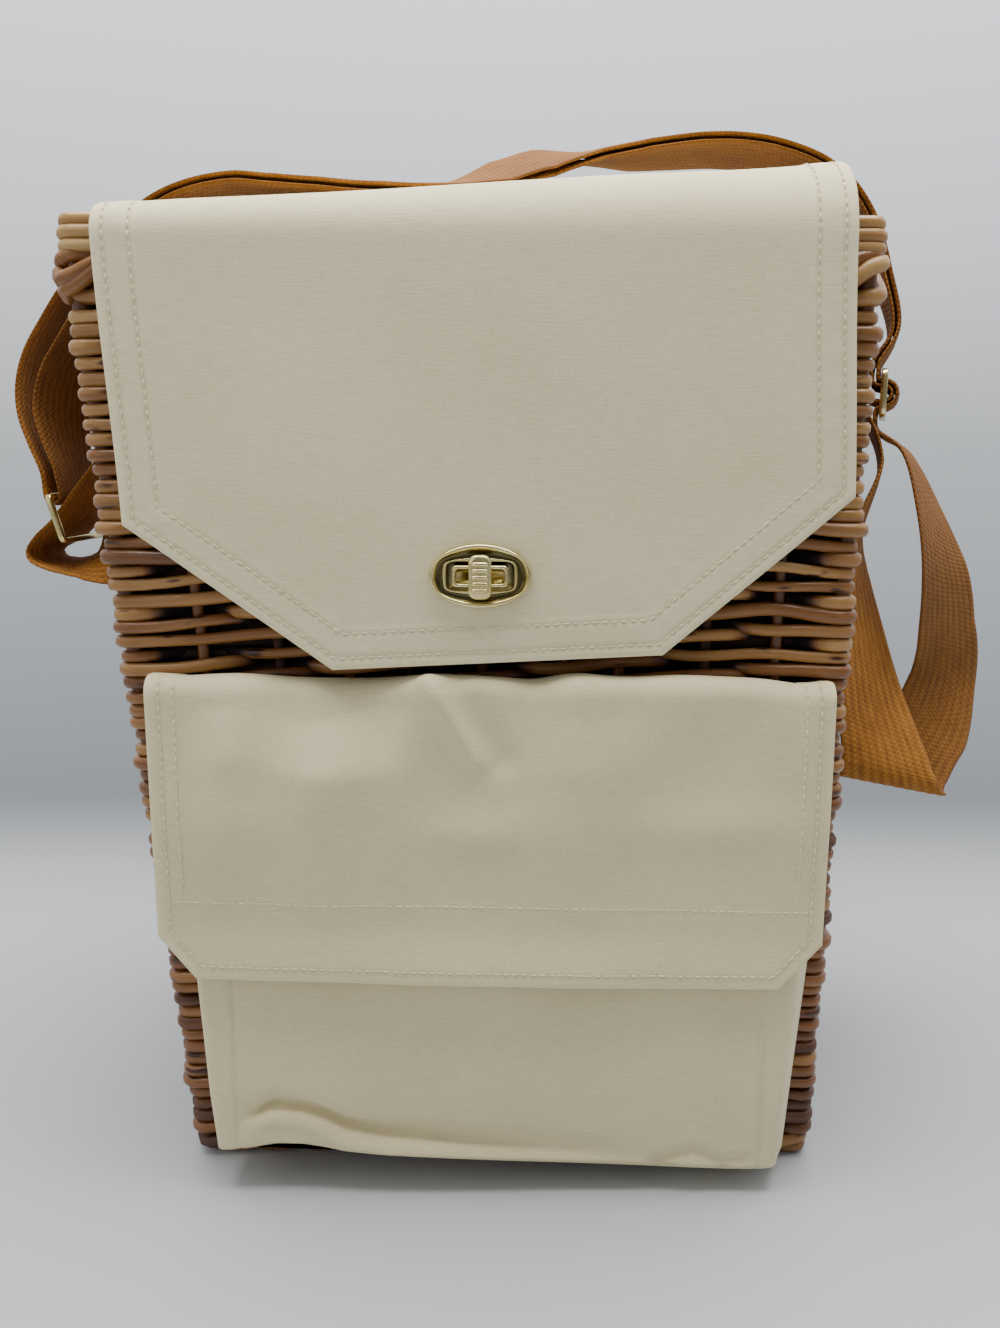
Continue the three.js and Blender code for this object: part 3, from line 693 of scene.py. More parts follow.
def make_webbing():
    shader = Shader("webbing")
    place = shader.straight()
    parts = shader.parts(place)
    pitch = 2 * STRAP_HALF / STRAP_RIBS * MM
    rib = shader.sine(shader.math("SUBTRACT", parts["X"], pitch / 4), pitch)
    pick = shader.sine(parts["Y"], 2.1 * MM)
    crossing = shader.math("MULTIPLY", rib, pick)
    fibres = shader.noise(place, (900, 130, 300), 3)
    mottle = shader.noise(place, (30, 30, 30), 3)
    shade = shader.total((crossing, 0.07), (fibres, 0.5), (mottle, 0.4), (rib, 0.07))
    base = shader.ramp(shade, ((0.1, "5A330B"), (0.45, "9C6421"), (0.85, "C48C3C")))
    # painted shade: the back of the webbing is darkened to stand in for the shade on the strap's inner
    # faces and undersides
    back = shader.math("LESS_THAN", parts["Z"], 0.0)
    fuzz = shader.bump(fibres, 0.3, 0.25)
    return shader.finish({
        "Base Color": shader.blend(shader.math("MULTIPLY", back, 0.5), base, colour("4A2606")),
        "Normal": shader.bump(crossing, 0.4, 0.35, Normal=fuzz),
        "Roughness": 0.85, "Sheen Weight": 0.02, "Specular IOR Level": 0.35})


def make_brass():
    shader = Shader("brass")
    place = shader.place("Object")
    scratches = shader.noise(place, (900, 300, 900), 2)
    patina = shader.noise(place, (90, 90, 90), 3)
    base = shader.ramp(patina, ((0.3, "CDBB78"), (0.7, "EADDA8")))
    return shader.finish({
        "Base Color": shader.blend(shader.tone(), base, colour("3A3116")),
        "Normal": shader.bump(scratches, 0.08, 0.1),
        "Roughness": shader.total((patina, 0.16), start=0.14), "Metallic": 1.0})


def make_thread():
    shader = Shader("thread")
    twist = shader.noise(shader.straight(), (700, 2500, 2500), 2)
    return shader.finish({
        "Base Color": shader.ramp(twist, ((0.3, "D4CAA8"), (0.7, "EAE0C2"))),
        "Normal": shader.bump(twist, 0.4, 0.1), "Roughness": 0.75})


WICKER = make_wicker()
LID_CANVAS = make_canvas("lid_canvas", "F1E6BF", "DDD1A6")
POCKET_CANVAS = make_canvas("pocket_canvas", "EADDB4", "D6C99E")
WEBBING = make_webbing()
BRASS = make_brass()
THREAD = make_thread()


# Wicker

def body_at(z):
    """Half width, half depth and middle of the body's outside at heights."""
    t = z / HEIGHT
    half_x = (FOOT_SIZE[0] + (MOUTH_SIZE[0] - FOOT_SIZE[0]) * t) / 2
    half_y = (FOOT_SIZE[1] + (MOUTH_SIZE[1] - FOOT_SIZE[1]) * t) / 2
    return half_x, half_y, LEAN * t


def stake_places():
    """Share of its panel at which each stake stands, with the corners even and the rest a little off."""
    places = []
    for gaps, _ in PANELS:
        shares = np.arange(gaps + 1) / gaps
        shares[1:-1] += random.uniform(-STAKE_SPREAD, STAKE_SPREAD, gaps - 1) / gaps
        places.append(shares)
    return places


STAKES = stake_places()


def plan(u, z, inset):
    """Place and outward direction on the body, u stakes round from the left front corner, and the distance
    to the nearest corner."""
    half_x, half_y, middle = body_at(z)
    place = np.zeros((len(u), 2))
    outward = np.zeros((len(u), 2))
    corner_gap = np.zeros(len(u))
    start = 0
    radius = max(CORNER_RADIUS - inset, SHARPEST_CORNER)
    quarter = radius * math.pi / 4
    for (gaps, facing), shares in zip(PANELS, STAKES):
        here = (u >= start) & (u < start + gaps)
        half, out = (half_x, half_y) if facing in (-90, 90) else (half_y, half_x)
        side = half - inset - radius
        length = 2 * side + 2 * quarter
        s = np.interp(u[here] - start, np.arange(gaps + 1), shares) * length
        angle = (np.minimum(s - quarter, 0) + np.maximum(s - length + quarter, 0)) / radius
        along = np.clip(s - quarter, 0, length - 2 * quarter) - side + radius * np.sin(angle)
        off = out - inset - radius + radius * np.cos(angle)
        turn = math.radians(facing)
        normal = np.array([math.cos(turn), math.sin(turn)])
        forward = np.array([-math.sin(turn), math.cos(turn)])
        place[here] = along[:, None] * forward + off[:, None] * normal
        outward[here] = np.sin(angle)[:, None] * forward + np.cos(angle)[:, None] * normal
        corner_gap[here] = np.minimum(s, length - s)
        start += gaps
    place[:, 0] += middle
    return place, outward, corner_gap


def rod_places():
    """Places round the basket at which a rod is drawn, closer together at the corners."""
    places = []
    stake = 0
    for gaps, _ in PANELS:
        for gap in range(gaps):
            steps = ROD_STEPS
            if gap == 0:
                steps = CORNER_STEPS
            if gap == gaps - 1:
                steps = [0] + [1 - step for step in CORNER_STEPS[:0:-1]]
            places += [stake + step for step in steps]
            stake += 1
    return np.array(places)


def border_places():
    """Places round the basket at which a border is drawn."""
    even = np.arange(STAKE_COUNT * BORDER_STEPS) / BORDER_STEPS
    return np.unique(np.concatenate([even, rod_places()]))


def between_stakes(values, u, hold=0.0):
    """Values at the stakes, held for a share of each gap and joined smoothly in between."""
    stake = np.floor(u).astype(int)
    share = np.clip((u - stake - hold) / (1 - 2 * hold), 0, 1)
    share = (1 - np.cos(share * math.pi)) / 2
    count = len(values)
    return values[stake % count] * (1 - share) + values[(stake + 1) % count] * share


def sides_of_stakes(row):
    """1 where a rod passes in front of a stake and -1 where it passes behind."""
    sides = []
    for gaps, _ in PANELS:
        panel = np.where((np.arange(gaps) + row) % BEHIND_EVERY == 0, -1.0, 1.0)
        panel[0] = CORNER_SWING
        sides.append(panel)
    return np.concatenate(sides)


def stroke_slant(row, u):
    """Height of a rod's strokes: each rises along its run, into the gaps of its neighbours."""
    slant = np.zeros(len(u))
    start = 0
    for gaps, _ in PANELS:
        here = (u >= start) & (u < start + gaps)
        local = u[here] - start
        phase = (local + row) % BEHIND_EVERY / BEHIND_EVERY
        inside = smooth_step(0, 1.5, np.minimum(local, gaps - local))
        slant[here] = -STROKE_SLANT * np.sin(2 * math.pi * phase) * inside
        start += gaps
    return slant


def spread_at_slits(z, place):
    """Heights of a rod pushed apart where the webbing passes the wall."""
    for facing, height, half in SLITS:
        side = place[:, 0] * (1 if facing == 0 else -1) > 0
        near = fade(half - 6, half + 8, np.abs(place[:, 1])) * side
        away = z - height
        push = np.where(away < 0, -1, 1) * SLIT_OPENING * np.exp(-np.abs(away) / SLIT_FADE)
        z = z + push * near
    return z


def add_weave_row(strands, row, z):
    """A rod round the basket, with painted shade where it passes behind a stake and on its inward side."""
    u = rod_places()
    swing = between_stakes(sides_of_stakes(row), u, WEAVE_HOLD)
    swing += between_stakes(random.normal(0, SWING_SPREAD, STAKE_COUNT), u)
    place, outward, corner_gap = plan(u, z, WEAVE_INSET)
    jut = random.normal(*CORNER_JUT[:2]) * bell(corner_gap, 0, CORNER_JUT[2])
    reach = np.where(swing > 0, WEAVE_OUT, WEAVE_IN) * swing + jut
    place = place + outward * reach[:, None]
    height = z + between_stakes(random.normal(0, HEIGHT_SPREAD, STAKE_COUNT), u)
    height += stroke_slant(row, u) - CORNER_SAG[0] * bell(corner_gap, 0, CORNER_SAG[1])
    path = np.column_stack([place, spread_at_slits(height, place)])
    radius = ROD_RADIUS * random.uniform(*ROD_SPREAD) * (1 + wave(u, 6, 0.07))
    radius = radius * (1 + CORNER_SWELL[0] * bell(corner_gap, 0, CORNER_SWELL[1]))
    section = circle(1, ROD_SIDES, ROD_FLATNESS) * radius[:, None, None]
    tone = random.uniform(*ROD_TONES) + wave(u, 3.5, 0.1)
    # painted light, paler towards the top of the basket
    tone = tone + PAINTED_LIGHT_UPWARD * (z / HEIGHT - 0.5)
    # painted shade where the rod swings behind a stake
    tone = tone - BEHIND_PAINTED_SHADE * smooth_step(0.3, -0.5, swing)
    # painted shade on the rod's inward-facing side
    inside = INSIDE_PAINTED_SHADE * smooth_step(-0.1, -0.6, circle(1, ROD_SIDES)[:, 0])
    strands.add(path, section, path_lengths(path) + row * ROW_APART, tone[:, None] - inside)


def add_inner_row(strands, row, z):
    """The run of a row that lies inside the stakes, darkened as painted shade."""
    u = np.arange(STAKE_COUNT * INNER_STEPS) / INNER_STEPS
    place, outward, _ = plan(u, z, WEAVE_INSET)
    place = place - outward * (INNER_REACH + 0.5 * np.sin(u * 2 + row))[:, None]
    path = np.column_stack([place, spread_at_slits(np.full(len(u), z), place)])
    lengths = path_lengths(path) - row * ROW_APART
    # near-black tone: painted shade inside the basket
    strands.add(path, circle(INNER_RADIUS, INNER_SIDES), lengths, random.uniform(*INNER_TONES_PAINTED_SHADE))


def make_weave():
    bottom = FOOT_HEIGHT + 1
    top = RIM_ROPE[0] - RIM_ROPE[1] + 1.5
    rows = round((top - bottom) / ROD_PITCH)
    pitch = (top - bottom) / rows
    lower = Strands(True)
    upper = Strands(True)
    inside = Strands(True)
    for row in range(rows):
        add_weave_row(lower if row < rows // 2 else upper, row, bottom + (row + 0.5) * pitch)
    for row in range(rows):
        add_inner_row(inside, row, bottom + row * pitch)
    lower.make_piece("wall_weave_lower", "wicker", WICKER, "basket_wall")
    upper.make_piece("wall_weave_upper", "wicker", WICKER, "basket_wall")
    inside.make_piece("wall_weave_inside", "wicker", WICKER, "basket_wall")


def make_stakes():
    """Upright stakes from the foot to the rim. The middle one of each side stops at the slits."""
    strands = Strands(False)
    corners = np.cumsum([0] + [gaps for gaps, _ in PANELS])
    for stake in range(STAKE_COUNT):
        further, radius = CORNER_STAKE if stake in corners else (0, STAKE_RADIUS)
        breaks = [FOOT_HEIGHT / 2, HEIGHT - RIM_HEIGHT / 2]
        for facing, height, _ in SLITS:
            if stake == SLIT_STAKES[facing]:
                breaks += [height - SLIT_OPENING, height + SLIT_OPENING]
        breaks.sort()
        for low, high in zip(breaks[::2], breaks[1::2]):
            heights = np.linspace(low, high, max(2, round((high - low) / STAKE_PIECE)))
            places = [plan(np.array([float(stake)]), z, WEAVE_INSET + further)[0][0] for z in heights]
            path = np.column_stack([places, heights])
            lengths = heights + stake * STAKE_APART
            # dark stake tone: painted shade in the gaps between rods
            strands.add(path, circle(radius, ROD_SIDES), lengths, random.uniform(*STAKE_TONES_PAINTED_SHADE), STAKE_UP)
    strands.make_piece("wall_stakes", "wicker", WICKER)


def make_border(name, node, middle, half_high, inset, strand_count, turns, tone, straight_rods=()):
    """Border of rods twisted round each other like a rope, with straight rods if there are any."""
    u = border_places()
    place, outward, _ = plan(u, middle, WALL / 2 + inset)
    strands = Strands(True)
    for strand in range(strand_count):
        radius = ROPE_ROD * random.uniform(*ROPE_SPREAD)
        angle = 2 * math.pi * (strand / strand_count + turns * u / STAKE_COUNT)
        angle += wave(u * 1.3, 1, 0.35)
        path = np.column_stack([
            place + outward * ((BORDER_HALF - radius) * np.cos(angle))[:, None],
            middle + (half_high - radius) * np.sin(angle)])
        shade = tone + random.uniform(*ROPE_TONES) + wave(u, 2.7, 0.12)
        lengths = path_lengths(path) + strand * BORDER_APART
        strands.add(path, circle(radius, ROD_SIDES), lengths, shade[:, None])
    for number, (out, below) in enumerate(straight_rods):
        height = HEIGHT - below * RIM_ROD + 0.5 * np.sin(u / 2 + number)
        path = np.column_stack([place + outward * out, height])
        shade = random.uniform(*RIM_TONES) + 0.1 * np.sin(u / 3 + number)
        lengths = path_lengths(path) - (number + 1) * BORDER_APART
        strands.add(path, circle(RIM_ROD, ROD_SIDES), lengths, shade[:, None])
    strands.make_piece(name, "wicker", WICKER, node)


def make_base():
    """Woven bottom."""
    half_x = FOOT_SIZE[0] / 2 - FOOT_INSET - WALL - BASE_GAP
    half_y = FOOT_SIZE[1] / 2 - FOOT_INSET - WALL - BASE_GAP
    middle = BASE_THICKNESS / 2 + 0.2
    sticks = np.linspace(-half_x + BASE_STICK_INSET, half_x - BASE_STICK_INSET, BASE_STICKS)
    stick_y = np.linspace(-half_y, half_y, BASE_POINTS[0])
    rod_x = np.linspace(-half_x, half_x, BASE_POINTS[1])
    strands = Strands(False)

    def add(path, radius, tone):
        lengths = path_lengths(path) + len(strands.grids) * BASE_APART
        strands.add(path, circle(radius, ROD_SIDES), lengths, tone)

    for x in sticks:
        path = np.column_stack([np.full_like(stick_y, x), stick_y, np.full_like(stick_y, middle)])
        add(path, BASE_STICK_RADIUS, STICK_TONE)
    for number, y in enumerate(np.arange(-half_y + 2.4, half_y - 2, BASE_ROD_PITCH)):
        phase = (rod_x - sticks[0]) / (sticks[1] - sticks[0]) + number
        z = middle + BASE_ROD_RADIUS * np.cos(math.pi * phase)
        path = np.column_stack([rod_x, np.full_like(rod_x, y), z])
        add(path, BASE_ROD_RADIUS, random.uniform(*BASE_TONES))
    strands.make_piece("base_weave", "wicker", WICKER, "base_panel")


# Canvas

def hem_distance(hem, across, level):
    """Distance in from the sides and the lower edge of a flap, on the flat cloth."""
    distance = np.minimum(across - hem[0][0], hem[-1][0] - across)
    for (x0, z0), (x1, z1) in zip(hem[:-1], hem[1:]):
        length = math.hypot(x1 - x0, z1 - z0)
        distance = np.minimum(distance, ((x1 - x0) * (level - z0) - (z1 - z0) * (across - x0)) / length)
    return np.maximum(distance, 0)


def inset_hem(hem, distance, top):
    """Corners of a line that runs this far in from the sides and the lower edge of a flap."""
    corners = [(hem[0][0], top), *hem, (hem[-1][0], top)]
    lines = []
    for (x0, z0), (x1, z1) in zip(corners[:-1], corners[1:]):
        length = math.hypot(x1 - x0, z1 - z0)
        inward = (-(z1 - z0) / length, (x1 - x0) / length)
        lines.append(((x0 + inward[0] * distance, z0 + inward[1] * distance), (x1 - x0, z1 - z0)))
    path = [(lines[0][0][0], top)]
    for ((ax, az), (adx, adz)), ((bx, bz), (bdx, bdz)) in zip(lines[:-1], lines[1:]):
        t = ((bx - ax) * bdz - (bz - az) * bdx) / (adx * bdz - adz * bdx)
        path.append((ax + adx * t, az + adz * t))
    path.append((lines[-1][0][0], top))
    return np.array(path)


def walk(path, step):
    """Points along a line of straight stretches, a step apart."""
    lengths = path_lengths(path)
    places = np.arange(step / 2, lengths[-1], step)
    return np.column_stack([np.interp(places, lengths, path[:, k]) for k in range(path.shape[1])])


def surface_normals(form, across, level):
    """Points of a cloth's surface and their outward directions."""
    right = form(across + SURFACE_STEP, level) - form(across - SURFACE_STEP, level)
    up = form(across, level + SURFACE_STEP) - form(across, level - SURFACE_STEP)
    return form(across, level), unit(np.cross(right, up))


def rolled_edge(distance):
    return EDGE_ROLL[0] * fade(0, EDGE_ROLL[1], distance)


def two_sided(outer, inner, hole):
    """Points and faces of a sheet with two sides, a closed edge all round and perhaps a hole."""
    points, quads = join_grids([outer, inner[:, ::-1]], False, False)
    rows, count = outer.shape[:2]
    front = np.arange(rows * count).reshape(rows, count)
    back = (np.arange(rows * count) + rows * count).reshape(rows, count)[:, ::-1]

    def wall(i0, i1, j0, j1):
        outlines = []
        for side in (front, back):
            edges = (side[i0, j0:j1], side[i0:i1, j1], side[i1, j1:j0:-1], side[i1:i0:-1, j0])
            outlines.append(np.concatenate(edges))
        return np.stack([*outlines, np.roll(outlines[1], -1), np.roll(outlines[0], -1)], axis=-1)

    faces = [quads, wall(0, rows - 1, 0, count - 1)]
    if hole:
        i0, i1, j0, j1 = hole
        whole = np.ones((rows - 1, count - 1), dtype=bool)
        whole[i0:i1, j0:j1] = False
        faces[0] = quads[np.concatenate([whole.reshape(-1), whole[:, ::-1].reshape(-1)])]
        faces.append(wall(*hole)[:, ::-1])
    return points, faces


def cloth_piece(name, node, material, hem, top_level, form, relief, seams, step, slot=None):
    """Sheet over a grid on the flat cloth, with an outer and an inner side. A slot has its middle's
    place and level and half its size."""
    left, right = hem[0][0], hem[-1][0]
    across = np.unique(np.concatenate([
        np.arange(left, left + HEM_ZONE, HEM_GRID), np.arange(left + HEM_ZONE, right - HEM_ZONE, step),
        np.arange(right, right - HEM_ZONE, -HEM_GRID), [x for x, _ in hem]]))
    low = on_line(hem, across)
    high = top_level(across)
    tall = float(np.max(high - low))
    steps = [np.arange(0, HEM_ZONE, HEM_GRID), np.arange(HEM_ZONE, tall, step), [tall]]
    share = np.concatenate(steps) / tall
    level = low[:, None] + (high - low)[:, None] * share
    hole = None
    if slot:
        place, height, half_wide, half_high = slot
        columns = np.flatnonzero(np.abs(across - place) < half_wide)
        middle = (columns[0] + columns[-1]) // 2
        rows = np.flatnonzero(np.abs(level[middle] - height) < half_high)
        hole = (columns[0], columns[-1], rows[0], rows[-1])
    across = np.repeat(across[:, None], len(share), axis=1)
    surface, normals = surface_normals(form, across, level)
    outer = surface + normals * relief(across, level)[..., None]
    points, faces = two_sided(outer, outer - normals * CANVAS, hole)
    flat = np.stack([across, level, np.zeros_like(across)], axis=-1).reshape(-1, 3)
    distance = hem_distance(hem, across, level)
    # painted highlight along the cloth's edge and painted shade along its seams; the inner side is a little
    # darker still
    painted_light_and_shade = EDGE_LIGHT_SEAM_SHADE * smooth_step(0.5, 3, distance)
    for line in seams:
        painted_light_and_shade = painted_light_and_shade + EDGE_LIGHT_SEAM_SHADE * bell(distance, line, 0.8)
    return make_piece(name, "canvas", material, points, faces, node,
                      straight=np.concatenate([flat, flat - [0, 0, CANVAS]]),
                      tone=np.concatenate([painted_light_and_shade, painted_light_and_shade + EDGE_LIGHT_SEAM_SHADE / 2]))


def make_stitches(name, lines, form, relief):
    """Thread stitches along lines on the flat cloth, laid on the surface."""
    shares, widths, rises = np.transpose(STITCH_RINGS)
    section = circle(STITCH_RADIUS, STITCH_SIDES) * widths[:, None, None]
    strands = Strands(False)
    for line in lines:
        spots = walk(line, STITCH_PITCH)
        ahead = spots + np.gradient(spots, axis=0) * 0.2
        at, normal = surface_normals(form, *spots.T)
        to = form(*ahead.T) - at
        at = at + normal * (relief(*spots.T) + STITCH_LIFT)[:, None]
        along = unit(to - np.sum(to * normal, axis=1, keepdims=True) * normal)
        side = np.cross(along, normal)
        for place, forward, sideways, up in zip(at, along, side, normal):
            middle = place + np.outer(shares * STITCH_LENGTH, forward) + np.outer(rises, up)
            grid = middle[:, None] + section[..., :1] * sideways + section[..., 1:] * up
            start = (len(strands.grids) + 1) * STITCH_APART
            strands.add_grid(grid, section, shares * STITCH_LENGTH + start)
    return strands.make_piece(name, "canvas", THREAD)


def lid_lengths(across):
    """Share of the way across, bend, apex, and lengths round the front bend and over the top of the lid."""
    share = (across + LID_HALF) / (2 * LID_HALF)
    bend = LID_FRONT_BEND[0] + (LID_FRONT_BEND[1] - LID_FRONT_BEND[0]) * share
    apex = LID_REST + LID_RISE * share
    depth = LID_BACK - LID_BACK_BEND - (bend - LID_FACE)
    return share, bend, apex, bend * math.pi / 2, np.hypot(depth, apex - LID_REST)


def lid_top_level(across):
    """Level on the flat cloth of the lid's back edge."""
    _, bend, apex, arc, top = lid_lengths(across)
    return apex - bend + arc + top + LID_BACK_BEND * math.pi / 2 + LID_BACK_DROP - LID_BACK_BEND


def lid_form(across, level):
    """Lid surface over the flat cloth, whose level is the height on the hanging front."""
    share, bend, apex, arc, top = lid_lengths(across)
    past = level - (apex - bend)
    angle = np.clip(past / bend, 0, math.pi / 2)
    front_y = bend - LID_FACE - bend * np.cos(angle)
    front_z = np.minimum(level, apex - bend) + bend * np.sin(angle)
    t = np.clip((past - arc) / top, 0, 1)
    crown = LID_CROWN * 4 * share * (1 - share) * np.sin(math.pi * t)
    y = front_y + t * (LID_BACK - LID_BACK_BEND - (bend - LID_FACE))
    z = front_z + t * (LID_REST - apex) + crown
    last = past - arc - top
    turn = np.clip(last / LID_BACK_BEND, 0, math.pi / 2)
    y = y + LID_BACK_BEND * np.sin(turn)
    z = z - LID_BACK_BEND * (1 - np.cos(turn)) - np.maximum(last - LID_BACK_BEND * math.pi / 2, 0)
    skew = LID_SKEW * smooth_step(LID_SKEW_FROM, LID_REST, z)
    return np.stack([LID_MIDDLE + across + skew, y, z], axis=-1)


def lid_relief(across, level):
    """Small heights of the lid: its hem, puckers at the stitches and soft waves."""
    distance = hem_distance(LID_HEM, across, level)
    hem = HEM_STEP * fade(*LID_HEM_EDGE, distance)
    pucker = 0.16 * ripples(across, level, length=9, waves=7, seed=11) * bell(distance, 8, 7)
    waves = 1.3 * ripples(across, level, length=150, waves=6, seed=12) * smooth_step(0, 40, distance)
    seam = sum(-0.32 * bell(distance, line, 0.9) for line in LID_STITCHES)
    return hem + pucker + waves + seam - rolled_edge(distance) - CLOTH_SINK


def make_lid():
    slot = (LOCK_X - LID_MIDDLE, LOCK_Z, LOCK_SLOT[0] + SLOT_MARGIN, LOCK_SLOT[1] + SLOT_MARGIN)
    lid = cloth_piece("lid_flap_cloth", "lid_flap", LID_CANVAS, LID_HEM, lid_top_level, lid_form,
                      lid_relief, LID_STITCHES, LID_GRID, slot)
    back = float(lid_top_level(0.0))
    lines = [inset_hem(LID_HEM, distance, back - LID_STITCHES_END) for distance in LID_STITCHES]
    stitches = make_stitches("lid_stitches", lines, lid_form, lid_relief)


def flap_dents(across):
    """How far in and how far down the pocket flap's top is dented."""
    back = np.zeros_like(across)
    down = np.zeros_like(across)
    for middle, width, inward, lower in FLAP_DENTS:
        back += inward * bell(across, middle, width)
        down += lower * bell(across, middle, width)
    return back, down


def flap_top_level(across):
    """Level on the flat cloth of the pocket flap's upper edge, behind its bend."""
    back, down = flap_dents(across)
    tuck = FLAP_FACE - FLAP_BEND - body_at(FLAP_TOP)[1] - FLAP_TUCK[0] - back
    return FLAP_TOP - down - FLAP_BEND + FLAP_BEND * FLAP_TURN + np.maximum(tuck, FLAP_TUCK[1])


def flap_form(across, level):
    """Pocket flap over the flat cloth, whose level is the height on the hanging front."""
    back, down = flap_dents(across)
    knee = FLAP_TOP - down - FLAP_BEND
    past = level - knee
    angle = np.clip(past / FLAP_BEND, 0, FLAP_TURN)
    drop = np.maximum(knee - level, 0)
    belly = sum(height * bell(across, middle, width) for middle, width, height in FLAP_BELLIES)
    belly = belly * on_line(FLAP_BELLY, drop + 2.5 * np.sin(across / 8))
    dent = back * np.clip(1 - drop / FLAP_FADE, 0, 1)
    y = -FLAP_FACE + dent - belly + FLAP_BEND * (1 - np.cos(angle))
    z = np.minimum(level, knee) + FLAP_BEND * np.sin(angle)
    rest = np.maximum(past - FLAP_BEND * FLAP_TURN, 0)
    return np.stack([FLAP_MIDDLE + across, y + rest, z - 0.2 * rest], axis=-1)


def line_distance(across, level, line, shift=0):
    """Distance from a short line that is moved sideways."""
    (x0, z0), (x1, z1) = line
    x = across - x0 - shift
    z = level - z0
    run = (x1 - x0, z1 - z0)
    t = np.clip((x * run[0] + z * run[1]) / (run[0] ** 2 + run[1] ** 2), 0, 1)
    return np.hypot(x - t * run[0], z - t * run[1])


def flap_relief(across, level):
    """Small heights of the pocket flap: hems, puckers, waves, folds, the pinched fold and puffs."""
    distance = hem_distance(FLAP_HEM, across, level)
    low = level - on_line(FLAP_HEM, np.clip(across, -105, 105))
    hem = HEM_STEP * fade(*FLAP_HEM_EDGE, distance)
    band = HEM_STEP * fade(*FLAP_BAND_EDGE, low)
    pucker = 0.14 * ripples(across, level, length=8, waves=7, seed=21) * bell(distance, 6, 6)
    waves = 1.0 * ripples(across, level, length=90, waves=6, seed=22) * smooth_step(0, 25, distance)
    folds = 1.9 * ripples(across, level * 0.6, length=34, waves=6, seed=23)
    folds = folds * bell(np.maximum(FLAP_TOP - level, 0), 18, 26) * smooth_step(0, 14, distance)
    ridge = np.zeros_like(across)
    for shift, height, width in FLAP_RIDGES:
        ridge += height * bell(line_distance(across, level, FLAP_PINCH, shift), 0, width)
    for x, z, wide, high, height in FLAP_PUFFS:
        ridge += height * bell(across, x, wide) * bell(level, z, high)
    flare = 1.7 + 0.9 * ripples(across, level * 0.2, length=70, waves=5, seed=24)
    flare = (flare + 2.2 * bell(across, 5, 62)) * fade(0, 22, low)
    return (np.maximum(hem, band) + pucker + waves + folds + ridge + flare - rolled_edge(distance)
            - CLOTH_SINK)


def make_pocket_flap():
    flap = cloth_piece("pocket_flap_cloth", "pocket_flap", POCKET_CANVAS, FLAP_HEM, flap_top_level,
                       flap_form, flap_relief, FLAP_STITCHES, FLAP_GRID)
    lines = [inset_hem(FLAP_HEM, distance, FLAP_TOP) for distance in FLAP_STITCHES]
    lines.append(np.array(FLAP_BAND))
    lines += [np.array([(x, low), (x, FLAP_TOP)]) for x, low in FLAP_SEAMS]
    stitches = make_stitches("pocket_flap_stitches", lines, flap_form, flap_relief)


def pocket_edge(x):
    """Distance in from the pocket's sides."""
    return POCKET_ROWS[2][1] - np.abs(x)


def pocket_relief(x, z):
    """Heights on the pocket's front: creases near its lower edge, hems and soft waves."""
    above = z - on_line(POCKET_CREASE, x)
    along = smooth_step(*POCKET_CREASE_ENDS[0], x) * fade(*POCKET_CREASE_ENDS[1], x)
    crease = along * (-5.2 * bell(above, 0, np.where(above > 0, 6, 2.8)) + 1.0 * bell(above, -9, 5))
    stretches = zip(POCKET_FOLD[:-1], POCKET_FOLD[1:])
    fold = -1.8 * bell(np.min([line_distance(x, z, ends) for ends in stretches], axis=0), 0, 2.5)
    edge = pocket_edge(x)
    hem = 0.4 * fade(POCKET_HEM - 1, POCKET_HEM + 1, edge) - 0.5 * bell(edge, POCKET_HEM, 1)
    band = 0.8 * bell(z, 15, 6) * smooth_step(0, 20, edge)
    return crease + fold + hem + band + 0.7 * ripples(x, z, length=80, waves=6, seed=31)


def pocket_ring(half, front, back, radius):
    """Outline of the pocket seen from above, from its left back corner round the left side."""
    corner = np.linspace(0, math.pi / 2, 5)
    x = half - radius
    y_front = -front + radius
    y_back = -back - radius
    arcs = []
    for number, middle in enumerate(((-x, y_back), (-x, y_front), (x, y_front), (x, y_back))):
        angle = corner + (number + 1) % 4 * math.pi / 2
        arcs.append(np.array(middle) + radius * np.column_stack([np.cos(angle), np.sin(angle)]))
    ring = []
    for number, arc in enumerate(arcs):
        fill = np.linspace(0, 1, POCKET_COUNTS[number] + 2)[1:-1, None]
        ring += [arc, arc[-1] * (1 - fill) + arcs[(number + 1) % 4][0] * fill]
    return np.concatenate(ring)


def pocket_row(z):
    """Outside of the pocket at a height, with its folds, its dented top and its sagging lower edge."""
    rows = np.array(POCKET_ROWS)
    half, front, off = (np.interp(z, rows[:, 0], rows[:, k]) for k in (1, 2, 3))
    back = body_at(z)[1] + off
    ring = pocket_ring(half, front, back, min(POCKET_RADIUS, (front - back) / 2 - 0.2))
    x = ring[:, 0]
    level = np.full(len(x), z)
    facing = smooth_step(-back - 1, -front + 1, ring[:, 1])
    lift = on_line(POCKET_LIFT, x) * fade(9, 48, level) * (0.85 + 0.15 * facing)
    back_dent, _ = flap_dents(x + POCKET_MIDDLE - FLAP_MIDDLE)
    dent = np.maximum(back_dent, 0) * smooth_step(150, 185, level)
    y = ring[:, 1] + (dent - pocket_relief(x, level)) * facing
    flare = POCKET_GUSSET * (1 - facing) * smooth_step(half - 8, half, x)
    return np.column_stack([POCKET_MIDDLE + x + flare, y, level - POCKET_DROP + lift])


